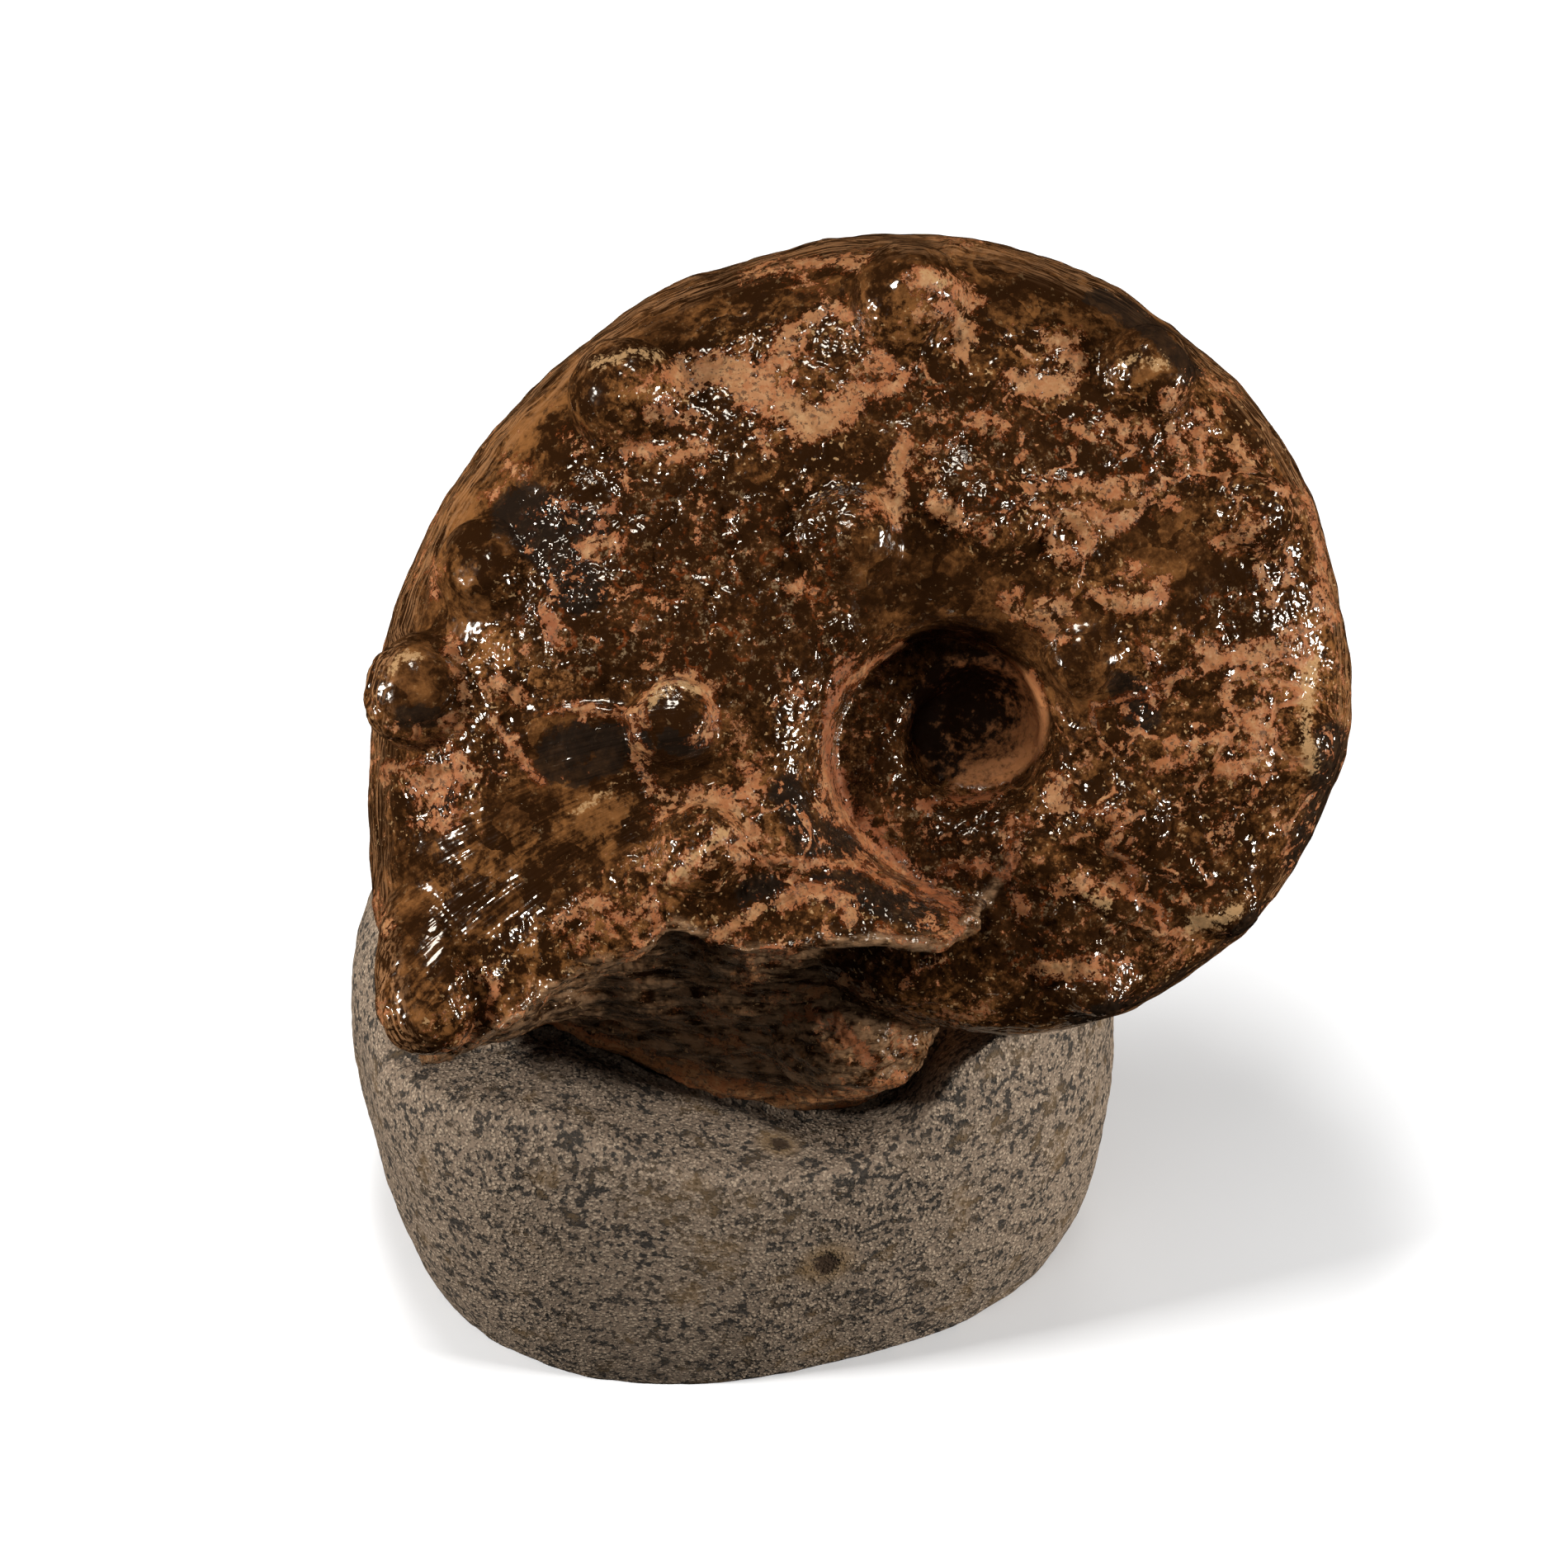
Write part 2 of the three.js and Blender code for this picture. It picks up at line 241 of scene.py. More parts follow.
# The mouth is broken off: the break runs level across the front flank and sags on the back one,
# with a hollow and a deep pocket between the two lips. Heights up the disc at distances across it.
FRONT_LIP = [
    (-0.190, -0.104), (-0.150, -0.092), (-0.124, -0.077), (-0.105, -0.061), (-0.088, -0.056),
    (-0.078, -0.048), (-0.067, -0.054), (-0.059, -0.056), (-0.029, -0.052), (-0.008, -0.054),
    (0.003, -0.047), (0.014, -0.030), (0.030, -0.010),
]
BACK_LIP = [
    (-0.190, -0.104), (-0.142, -0.090), (-0.115, -0.086), (-0.091, -0.097), (-0.067, -0.105),
    (-0.045, -0.110), (-0.027, -0.108), (-0.015, -0.098), (-0.006, -0.076), (0.006, -0.050),
    (0.014, -0.030), (0.030, -0.010),
]
MOUTH_HOLLOW, POCKET_HEIGHT = 0.009, 0.020
BREAK_MIDDLE, BREAK_HALF_WIDTH, BREAK_HALF_DEPTH, BREAK_BOTTOM = -0.065, 0.125, 0.095, -0.26
# A rounded swelling low in the break.
LOBE_MIDDLE, LOBE_RADII = (-0.032, -0.082, -0.018), (0.025, 0.021, 0.023)
# The coil's first chamber, which closes the middle of the disc.
CORE_RADII = (0.020, 0.020, 0.009)


def break_height(across, depth):
    """How far up the disc the break is, at a distance across it and a depth to its front."""
    back = 1 - eased(depth, -0.038, 0.046)
    spread = eased(across, -0.125, -0.095) * (1 - eased(across, -0.025, 0.005))
    hollow = MOUTH_HOLLOW * 4 * back * (1 - back) * spread
    pocket = POCKET_HEIGHT * near(across, -0.019, 0.013) * near(depth, 0.016, 0.014)
    front_lip = np.interp(across, *np.transpose(FRONT_LIP))
    back_lip = np.interp(across, *np.transpose(BACK_LIP))
    return front_lip + (back_lip - front_lip) * back + hollow + pocket


def break_sheet(x, y):
    """Points of the break, in the coil's frame, for shares from -1 to 1 across it and in depth."""
    across, depth = BREAK_MIDDLE + BREAK_HALF_WIDTH * x, BREAK_HALF_DEPTH * y
    return np.stack([across, break_height(across, depth), depth], 1)


break_cutter = make_cutter("break_cutter", (90, 60), break_sheet, BREAK_BOTTOM)
young = bmesh.new()
add_whorl(young, JOIN_ANGLE - WHORL_OVERLAP, MOUTH_ANGLE, 160, 90)
close_up(young)
ammonite = make_piece("ammonite_shell", young)
fuse(ammonite, ROUGH_VOXEL, 4)
cut_away(ammonite, break_cutter)

older = bmesh.new()
add_whorl(older, LAST_WHORL_START, JOIN_ANGLE, 120, 90)
add_whorl(older, COIL_START, LAST_WHORL_START + WHORL_OVERLAP, 160, 60)
for flank in (1, -1):
    for boss in HORNS + KNOBS:
        add_boss(older, *boss, flank)
add_ball(older, LOBE_MIDDLE, LOBE_RADII)
add_ball(older, (0, 0, 0), CORE_RADII)
close_up(older)
older_piece = make_piece("older_whorls", older)
fuse(older_piece, ROUGH_VOXEL, 4)

# A round pit goes down into the middle of each flank.
PIT_MIDDLE = np.array([0.0033, 0.0037])
PIT_RADIUS, PIT_WIDEST, PIT_HALF_DEPTH = 0.018, 0.034, 0.030
for flank in (1, -1):
    pit = bmesh.new()
    add_ball(pit, (*PIT_MIDDLE, flank * PIT_WIDEST), (PIT_RADIUS, PIT_RADIUS, PIT_HALF_DEPTH))
    close_up(pit)
    cut_away(older_piece, make_piece("pit_cutter", pit))

joined = bmesh.new()
joined.from_mesh(ammonite.data)
joined.from_mesh(older_piece.data)
joined.to_mesh(ammonite.data)
joined.free()
bpy.data.objects.remove(older_piece)
fuse(ammonite, FINE_VOXEL, 2)

# The photograph's camera looks down at the object from 42 degrees, through a 120 mm lens. Marks that
# are placed on the photograph, in its pixels, find their place on the fossil through it.
FILM, LENS, PICTURE_SIDE = 36, 120, 1900
CAMERA_TARGET = np.array([0.01375, -0.0609, 0.2163])
CAMERA_DISTANCE = 1.393
CAMERA_HEIGHT = math.radians(42)
to_camera = np.array([0, -math.cos(CAMERA_HEIGHT), math.sin(CAMERA_HEIGHT)])
picture_up = np.array([0, math.sin(CAMERA_HEIGHT), math.cos(CAMERA_HEIGHT)])
eye = CAMERA_TARGET + CAMERA_DISTANCE * to_camera


def in_picture(points):
    """Where points show in the photograph, in its pixels from the top left."""
    away = points - eye
    scale = PICTURE_SIDE * LENS / FILM / -(away @ to_camera)
    return np.stack([away[:, 0] * scale, -(away @ picture_up) * scale], 1) + PICTURE_SIDE / 2


lens = bpy.data.cameras.new("camera")
lens.lens = LENS
lens.sensor_width = FILM
camera = bpy.data.objects.new("camera", lens)
camera.location = eye
camera.rotation_euler = (math.pi / 2 - CAMERA_HEIGHT, 0, 0)
bpy.context.collection.objects.link(camera)
scene = bpy.context.scene
scene.camera = camera
scene.view_settings.view_transform = "Standard"

# What shows on the skin. Each list holds brushed marks: a half width, then the stops of its line.
# All of it is in the photograph's pixels; ten of them are about 2.2 mm on the fossil.
MARK_SCALE = 10


def ring(x, y, radius, start=0, end=360):
    """The stops of a round mark, from one angle to another, anticlockwise from the right."""
    angles = np.radians(np.linspace(start, end, 13))
    return [(x + radius * math.cos(angle), y - radius * math.sin(angle)) for angle in angles]


# The sandy matrix, tan to salmon pink, that clings to the shell.
MATRIX = [
    (22, (822, 452), (880, 448), (935, 462)),
    (18, (935, 455), (962, 412)),
    (22, (905, 480), (955, 492), (985, 515), (1030, 488)),
    (14, (1040, 480), (1090, 465)),
    (7, (905, 335), (960, 322), (1047, 312)),
    (3, (965, 350), (1000, 352)),
    (12, (985, 388), (1005, 374), (1025, 385)),
    (12, (795, 500), (845, 512)),
    (12, (765, 545), (810, 552), (848, 548)),
    (7, (915, 520), (937, 548)),
    (8, (690, 525), (705, 545)),
    (6, (615, 560), (635, 570)),
    (6, (592, 600), (608, 595)),
    (7, (690, 617), (722, 633), (742, 615)),
    (13, (715, 665), (740, 658)),
    (10, (655, 738), (672, 775)),
    (5, (530, 680), (525, 720)),
    (9, (960, 715), (992, 722)),
    (5, *ring(820, 860, 43, -60, 200)),
    (5, (668, 858), (720, 857), (780, 868)),
    (9, (590, 838), (615, 828), (632, 842)),
    (14, (1110, 338), (1150, 345), (1172, 362)),
    (12, (1120, 380), (1160, 375), (1175, 400), (1160, 425)),
    (14, (1045, 445), (1075, 440)),
    (17, (1232, 462), (1262, 470), (1290, 455), (1296, 438)),
    (9, (1270, 408), (1305, 412)),
    (14, (1095, 530), (1085, 580), (1085, 620)),
    (12, (1055, 602), (1085, 625)),
    (13, (1135, 610), (1165, 630), (1195, 640)),
    (6, (1127, 560), (1125, 600)),
    (5, (1105, 545), (1150, 538)),
    (9, (1175, 508), (1215, 522)),
    (10, (1300, 520), (1345, 515), (1385, 522)),
    (13, (1310, 590), (1330, 600), (1375, 590)),
    (9, *ring(1295, 650, 24)),
    (12, (1330, 620), (1350, 640), (1380, 615)),
    (9, (1240, 588), (1305, 585)),
    (13, (1330, 718), (1355, 735), (1385, 728), (1405, 712)),
    (8, (1355, 692), (1378, 692)),
    (9, (1222, 722), (1235, 745)),
    (14, (1255, 745), (1290, 735), (1280, 765)),
    (10, (1415, 475), (1415, 520), (1428, 560)),
    (8, (1450, 500), (1475, 488), (1465, 515), (1450, 545)),
    (8, (1495, 540), (1515, 565)),
    (7, (1448, 545), (1455, 575)),
    (8, (1430, 578), (1443, 582)),
    (10, (1400, 600), (1420, 612)),
    (12, (1475, 655), (1500, 650), (1520, 640)),
    (5, (1525, 660), (1530, 700), (1540, 730)),
    (7, (1585, 600), (1597, 650), (1602, 700), (1612, 745)),
    (6, (1540, 585), (1560, 600)),
    (13, (1455, 780), (1480, 800), (1530, 795), (1550, 785)),
    (7, (1395, 845), (1425, 820), (1455, 808)),
    (5, (1385, 785), (1397, 810)),
    (7, (1482, 820), (1490, 870)),
    (14, (1525, 870), (1530, 890)),
    (3, (1552, 835), (1556, 880)),
    (9, (1365, 905), (1368, 930)),
    (8, (1390, 925), (1420, 925), (1448, 915), (1448, 885)),
    (12, (1515, 870), (1530, 885), (1520, 905)),
    (8, (1470, 895), (1485, 890)),
    (12, (1485, 930), (1510, 935), (1530, 925)),
    (7, (1525, 945), (1520, 975)),
    (8, (1470, 1010), (1495, 990), (1480, 1025)),
    (6, (1335, 985), (1352, 990), (1352, 1020)),
    (12, (1285, 1075), (1310, 1070), (1330, 1085), (1355, 1070)),
    (8, (1275, 960), (1295, 985)),
    (12, (1265, 1175), (1330, 1170)),
    (5, (545, 780), (556, 810), (562, 840), (555, 880), (540, 895)),
    (9, (592, 835), (612, 828), (628, 845)),
    (7, (600, 880), (622, 905), (645, 940)),
    (4, (512, 925), (522, 940), (512, 965), (508, 990)),
    (5, (540, 905), (560, 930), (556, 950)),
    (6, (508, 995), (530, 1000), (552, 985)),
    (7, (555, 932), (575, 940)),
    (3, (475, 935), (500, 925), (520, 922)),
    (9, (772, 905), (785, 950), (800, 990)),
    (13, (800, 975), (840, 965), (880, 970)),
    (11, (860, 960), (890, 985), (900, 1005)),
    (8, (900, 930), (918, 940), (915, 965)),
    (9, (905, 1000), (920, 1020)),
    (7, (1000, 940), (995, 975), (1010, 990)),
    (9, (885, 1000), (850, 1030), (825, 1055), (805, 1070)),
    (8, (830, 1055), (870, 1035), (900, 1035), (905, 1055)),
    (8, (930, 1045), (965, 1050), (1000, 1045), (1045, 1042)),
    (10, (870, 1130), (905, 1110), (950, 1088), (1000, 1082), (1030, 1095), (1030, 1110)),
    (10, (680, 1120), (705, 1095), (735, 1098)),
    (9, (700, 1140), (740, 1120), (770, 1100), (800, 1075)),
    (7, (790, 1095), (795, 1120)),
    (8, (455, 1095), (468, 1125)),
    (6, (560, 1180), (600, 1190), (590, 1230)),
    (5, (545, 1270), (590, 1235)),
    (8, (985, 1240), (1005, 1275)),
    (7, (1050, 1205), (1085, 1235), (1095, 1270)),
    (6, (935, 1215), (985, 1205), (1020, 1190)),
    (7, (900, 1150), (915, 1180), (890, 1200)),
    (6, (1090, 1195), (1120, 1170), (1140, 1160)),
    (6, (860, 1262), (905, 1270)),
    (9, (965, 1325), (1045, 1330), (1085, 1305)),
]
# Crisp raised lines: the umbilical seam, the pit's rim, and seams between the plates of shell.
LINES = [
    (6, (1093, 780), (1050, 806), (1019, 838), (1003, 870), (998, 901), (1001, 935), (1008, 964)),
    (6, (1008, 964), (1035, 1006), (1077, 1043), (1119, 1069), (1156, 1101), (1160, 1128)),
    (6, *ring(1184, 868, 80, -115, 35)),
    (4, (659, 863), (700, 858), (740, 862), (783, 876)),
    (4, *ring(823, 866, 43, -20, 200)),
    (4, (467, 934), (497, 927), (520, 918)),
    (4, (549, 905), (573, 930), (560, 955)),
    (5, (599, 872), (620, 905), (652, 948)),
    (4, (770, 876), (772, 910), (790, 960)),
    (3, (1227, 990), (1219, 1027), (1224, 1059)),
    (3, (1140, 1054), (1177, 1046), (1214, 1056)),
    (4, (1277, 938), (1303, 980), (1350, 990), (1345, 1027), (1366, 1048), (1371, 1080)),
    (4, (1366, 1085), (1403, 1101), (1408, 1132)),
    (3, (1329, 890), (1324, 853), (1361, 843), (1393, 837), (1434, 811)),
    (3, (1382, 780), (1398, 806), (1398, 837)),
    (4, (940, 1043), (992, 1043), (1040, 1048), (1098, 1080), (1150, 1101)),
    (4, (940, 1085), (982, 1072), (1024, 1085), (1019, 1111)),
    (4, (1061, 1122), (1093, 1138), (1129, 1148), (1150, 1138)),
]
# Stretches where rusty seams net the plates of shell.
VEINED = [
    (90, (1250, 620), (1480, 640), (1520, 760), (1500, 950)),
    (80, (1330, 900), (1400, 1050)),
    (60, (1150, 420), (1350, 480)),
    (50, (480, 920), (560, 980)),
    (50, (900, 960), (950, 1040)),
]
# Thin seams of rusty matrix: the umbilical seam, the pit's rim and the cracks below it.
RUST = [
    (7, (1030, 800), (1008, 840), (1002, 890), (1008, 930), (1025, 965), (1050, 1000), (1085, 1035)),
    (7, (1085, 1035), (1120, 1065), (1155, 1095), (1160, 1125)),
    (7, (1118, 978), (1160, 968), (1198, 962)),
    (4, (1128, 1062), (1165, 1050), (1200, 1048), (1218, 1062)),
    (4, (1245, 990), (1228, 1020), (1222, 1060), (1235, 1090), (1240, 1110)),
    (4, (1370, 1010), (1372, 1075)),
    (5, (1250, 830), (1262, 870), (1250, 920)),
    (6, (930, 1150), (960, 1165)),
    (9, (960, 1230), (1010, 1240), (1060, 1290)),
    (7, (690, 617), (722, 633), (742, 615)),
    (8, (662, 750), (668, 772)),
]
# Cream calcite: worn crests of horns and knobs, and the edges of the broken lip.
CREAM = [
    (5, (468, 818), (480, 800), (512, 792)),
    (6, (790, 858), (800, 834), (825, 828), (845, 836)),
    (7, (720, 440), (760, 428), (800, 432)),
    (8, (1365, 440), (1385, 432), (1405, 440)),
    (5, (885, 1000), (850, 1030), (825, 1055), (805, 1070)),
    (10, (1443, 1120), (1480, 1115), (1500, 1105)),
    (8, (1320, 1085), (1345, 1100)),
    (5, (700, 985), (735, 958), (760, 940)),
    (10, (1590, 800), (1580, 880), (1590, 930)),
    (6, (1120, 335), (1145, 345)),
]
# Stretches where the skin is gone and the dark, granular calcite under it is bare.
GRAIN = [
    (75, (700, 650), (850, 640), (960, 690)),
    (60, (680, 760), (790, 770), (900, 800)),
    (50, (1020, 760), (1000, 820)),
    (40, (1060, 860), (1060, 960), (1130, 1010), (1200, 1000)),
    (50, (1150, 1050), (1230, 1100)),
    (45, (1070, 475), (1180, 515)),
    (40, (1230, 540), (1330, 530)),
    (45, (1185, 595), (1190, 600)),
    (40, (1300, 540), (1400, 560)),
    (40, (1490, 740), (1500, 770)),
    (45, (1330, 1130), (1450, 1080)),
    (40, (1250, 1150), (1350, 1180)),
]
# Black glossy calcite, and painted shade on the lower half of the horn at the middle of the left edge.
BLACK = [
    (30, (625, 625), (680, 680), (700, 720)),
    (18, (640, 600), (720, 640)),
    (15, (538, 925), (538, 980)),
    (22, (1000, 1075), (1060, 1085), (1120, 1110)),
    (22, (950, 960), (985, 1030)),
    (18, (1010, 990), (1040, 1050)),
    (16, (1330, 360), (1400, 400), (1440, 450)),
    (30, (1540, 1120), (1480, 1180), (1400, 1230), (1320, 1250)),
    (24, (1615, 900), (1600, 980), (1580, 1040)),
    (20, (1360, 830), (1390, 870)),
    (14, (930, 1075), (900, 1090)),
    (24, (665, 930), (700, 895)),
    (20, (700, 895), (775, 900)),
    (14, (700, 940), (745, 925)),
    # painted shade: the lower half of the horn at the middle of the left edge
    (16, (495, 868), (522, 866)),
    (16, (815, 895), (840, 905)),
]
# Stretches of smooth, whole shell, with its growth lines and no cracks.
SMOOTH = [
    (75, (560, 1070), (680, 1000), (800, 920)),
    (50, (500, 1080), (500, 1180)),
    (60, (690, 900), (790, 900)),
    (60, (1080, 700), (1180, 740), (1290, 790)),
    (45, (500, 830), (540, 740), (600, 600), (700, 470)),
    (45, (760, 400), (900, 350), (1100, 320)),
    (45, (1180, 350), (1300, 350), (1400, 420)),
    (50, (1400, 650), (1440, 700)),
    (45, (1280, 790), (1320, 830)),
]
# Translucent, lighter amber calcite.
AMBER = [
    (30, (560, 640), (620, 560), (700, 480)),
    (30, (565, 690), (570, 720)),
    (30, (760, 470), (790, 480)),
    (35, (1100, 370), (1120, 400)),
    (25, (1380, 445), (1390, 460)),
    (35, (930, 380), (880, 400)),
    (35, (600, 1140), (690, 1150)),
    (34, (560, 1070), (640, 1040), (740, 985)),
    (30, (590, 790), (640, 800)),
    (30, (510, 1210), (540, 1230)),
    (35, (1590, 780), (1590, 850)),
    (40, (1230, 400), (1290, 380)),
]


def depth_in(marks, places):
    """How deep inside the nearest mark each place is, in tens of pixels; negative outside."""
    deepest = np.full(len(places), -60.0)
    for half_width, *stops in marks:
        for start, end in zip(stops, stops[1:]):
            along = np.subtract(end, start)
            share = np.clip((places - start) @ along / (along @ along), 0, 1)
            gap = np.linalg.norm(places - start - share[:, None] * along, axis=1)
            deepest = np.maximum(deepest, half_width - gap)
    return deepest / MARK_SCALE


LATTICE_SIDE = 48
random = np.random.default_rng(11)
lattice = random.uniform(-1, 1, (LATTICE_SIDE,) * 3)


def unevenness(points, size, octaves=1):
    """A smooth random height at each point, about -1 to 1, with lumps of a size in metres."""
    total = 0
    for octave in range(octaves):
        place = points / size * 2**octave + 17.3 * octave
        cell = np.floor(place).astype(int)
        share = place - cell
        share = share * share * (3 - 2 * share)
        for corner in product((0, 1), repeat=3):
            weight = np.prod(np.where(corner, share, 1 - share), axis=1)
            total = total + weight * lattice[tuple(((cell + corner) % LATTICE_SIDE).T)] / 2**octave
    return total


def points_of(mesh):
    flat = np.empty(3 * len(mesh.vertices))
    mesh.vertices.foreach_get("co", flat)
    return flat.reshape(-1, 3)


def normals_of(mesh):
    flat = np.empty(3 * len(mesh.vertices))
    mesh.vertex_normals.foreach_get("vector", flat)
    return flat.reshape(-1, 3)


def winding(coil_points):
    """Which turn of the spiral each point is on: its angle along the growth, and its radius."""
    radius = np.hypot(coil_points[:, 0], coil_points[:, 1])
    angle = np.arctan2(coil_points[:, 1], coil_points[:, 0])
    turn = angle + 2 * math.pi * np.floor((MOUTH_ANGLE - angle) / (2 * math.pi))
    for _ in range(2):
        inside = radius < umbilicus_radius(turn)
        turn = np.where(inside, turn - 2 * math.pi, turn)
    return turn, radius


# The back flank isn't seen, so it takes the front one's marks, mirrored and moved on along the
# growth.
BACK_SHIFT = math.radians(37)


def marked_place(points, coil_points, broken):
    """The place in the photograph whose marks each point takes, front and back."""
    turn, radius = winding(coil_points)
    further = np.stack([
        radius * np.cos(turn + BACK_SHIFT),
        radius * np.sin(turn + BACK_SHIFT),
        -coil_points[:, 2],
    ], 1) * math.exp(GROWTH * BACK_SHIFT)
    behind = (coil_points[:, 2] < 0) & (broken < 0.1)
    places = in_picture(np.where(behind[:, None], from_coil(further), points))
    shake = [unevenness(points + shift, 0.006, 2) for shift in (0, 0.5)]
    return places + 5 * np.stack(shake, 1)


# Relief of the front flank: middle, radius and height of round bumps, hollows and rings, the first
# two in the photograph's pixels and the last in metres.
BUMPS = [
    (1185, 595, 58, 0.0028),
    (690, 600, 42, 0.0022),
    (575, 690, 45, 0.0028),
    (1372, 722, 34, 0.0016),
    (720, 905, 62, 0.0018),
    (1262, 752, 34, 0.0016),
    (880, 630, 17, -0.0008),
    (940, 690, 17, -0.0008),
    (860, 730, 15, -0.0007),
    (1295, 650, 16, -0.0010),
    (538, 950, 24, -0.0012),
    (1110, 335, 40, 0.0020),
]
RINGS = [
    (880, 630, 22, 0.0007),
    (940, 690, 22, 0.0007),
    (860, 730, 20, 0.0006),
    (1295, 650, 27, 0.0012),
    (501, 827, 56, -0.0012),
    (820, 862, 46, -0.0010),
    (1185, 595, 62, -0.0008),
]
RIDGES = [
    (13, (1290, 1060), (1330, 1085), (1370, 1105), (1400, 1130)),
    (12, (1270, 790), (1300, 830), (1320, 860)),
    (12, (620, 905), (690, 855), (780, 870)),
    (14, (950, 960), (985, 1030)),
    (10, (830, 1055), (900, 1040), (960, 1050)),
]
# Sizes and heights of the skin's lumps, and heights of the other relief.
LUMPS = [(0.034, 0.0013), (0.013, 0.0008), (0.005, 0.00045)]
RIDGE_HEIGHT, CRUST_HEIGHT, LINE_HEIGHT = 0.0014, 0.0004, 0.0004
PLATES, PLATE_STEP, CRACK_DEPTH = 620, 0.0007, 0.0005
GRAIN_RELIEF, BREAK_RELIEF, PIT_SMOOTHING = 0.0005, 0.0016, 0.8


def plates(points, seeds):
    """How far each point is from the border of its plate, and a random share for the plate."""
    tree = kdtree.KDTree(len(seeds))
    for index, seed in enumerate(seeds):
        tree.insert(seed, index)
    tree.balance()
    shares = random.uniform(-1, 1, len(seeds))
    nearest = [tree.find_n(point, 2) for point in points]
    border = np.array([second[2] - first[2] for first, second in nearest])
    return border, shares[[first[1] for first, second in nearest]]


def looks_of(mesh):
    """Reads the marks, cracks and zones at each of a mesh's points."""
    points = points_of(mesh)
    coil_points = to_coil(points)
    broken_edge = break_height(coil_points[:, 0], coil_points[:, 2])
    in_reach = (coil_points[:, 0] < 0.012) & (coil_points[:, 1] < -0.03)
    broken = np.where(in_reach, 1 - eased(np.abs(coil_points[:, 1] - broken_edge), 0.001, 0.004), 0)
    in_lobe = np.linalg.norm((coil_points - LOBE_MIDDLE) / LOBE_RADII, axis=1) < 1.15
    broken = np.where(in_lobe & (coil_points[:, 1] < -0.06), 1, broken)
    places = marked_place(points, coil_points, broken)
    turn, radius = winding(coil_points)
    shake = [unevenness(points + shift, 0.009, 2) for shift in (0, 1, 2)]
    border, share = plates(points + 0.004 * np.stack(shake, 1), plate_seeds)
    flank = np.maximum(eased(np.abs(coil_points[:, 2]), 0.004, 0.016), broken)
    looks = {
        name: depth_in(marks, places) * flank - 2 * (1 - flank)
        for name, marks in {
            "matrix": MATRIX, "rust": RUST, "cream": CREAM, "grain": GRAIN, "black": BLACK,
            "smooth": SMOOTH, "amber": AMBER, "ridge": RIDGES, "line": LINES, "veined": VEINED,
        }.items()
    }
    looks["break"] = broken
    from_pit = np.linalg.norm(coil_points[:, :2] - PIT_MIDDLE, axis=1)
    in_pit = 1 - eased(from_pit, 0.0175, 0.0195)
    looks["pit"] = in_pit * (1 - eased(np.abs(coil_points[:, 2]), 0.028, 0.034))
    looks["rim"] = broken * (1 - eased(coil_points[:, 2], -0.028, -0.020))
    looks["turn"] = turn
    looks["girth"] = radius / venter_radius(turn)
    looks["border"] = border
    looks["plate"] = share
    return points, coil_points, places, looks


seed_points = points_of(ammonite.data)
plate_seeds = seed_points[random.choice(len(seed_points), PLATES, replace=False)]
points, coil_points, places, looks = looks_of(ammonite.data)
facing = eased(np.abs(coil_points[:, 2]), 0.006, 0.02)
height = sum(rise * unevenness(points, size) for size, rise in LUMPS)
for x, y, radius, rise in BUMPS:
    gap = np.hypot(places[:, 0] - x, places[:, 1] - y)
    height += facing * rise * (1 - eased(gap, 0.35 * radius, radius))
for x, y, radius, rise in RINGS:
    gap = np.hypot(places[:, 0] - x, places[:, 1] - y)
    height += facing * rise * near(gap, radius, 6)
height += facing * RIDGE_HEIGHT * eased(looks["ridge"], -1.2, 1.2)
cracked = facing * (1 - eased(looks["smooth"], -1, 1)) * (1 - looks["break"])
height += cracked * PLATE_STEP * looks["plate"] * eased(looks["border"], 0, 0.002)
height -= cracked * CRACK_DEPTH * (1 - eased(looks["border"], 0, 0.0012))
height += CRUST_HEIGHT * eased(looks["matrix"], -0.3, 0.3)
height += GRAIN_RELIEF * eased(looks["grain"], -0.5, 1) * unevenness(points, 0.0035)
layers = unevenness(coil_points * (0.4, 2, 2), 0.007, 3)
height += BREAK_RELIEF * looks["break"] * layers
height *= 1 - PIT_SMOOTHING * looks["pit"]
height += LINE_HEIGHT * eased(looks["line"], -0.5, 0.4)
points += height[:, None] * normals_of(ammonite.data)
ammonite.data.vertices.foreach_set("co", points.ravel())
ammonite.data.update()

# The back is thinned first, so that the front, which carries the marks, keeps the finer net.
TRIANGLES, BACK_KEPT = 195_000, 0.4
behind = np.flatnonzero(coil_points[:, 2] < 0)
ammonite.vertex_groups.new(name="back").add(behind.tolist(), 1, "REPLACE")


def thin(piece, ratio, group=""):
    decimate = piece.modifiers.new("thin", "DECIMATE")
    decimate.ratio = ratio
    decimate.vertex_group = group
    decimate.use_collapse_triangulate = True
    work_out(piece)


thin(ammonite, 1 - (1 - BACK_KEPT) * len(behind) / len(coil_points), "back")
thin(ammonite, min(1, TRIANGLES / len(ammonite.data.polygons)))
ammonite.vertex_groups.clear()

points, coil_points, places, looks = looks_of(ammonite.data)
for name, values in looks.items():
    ammonite.data.attributes.new(name, "FLOAT", "POINT").data.foreach_set("value", values)
ammonite.data.polygons.foreach_set("use_smooth", [True] * len(ammonite.data.polygons))


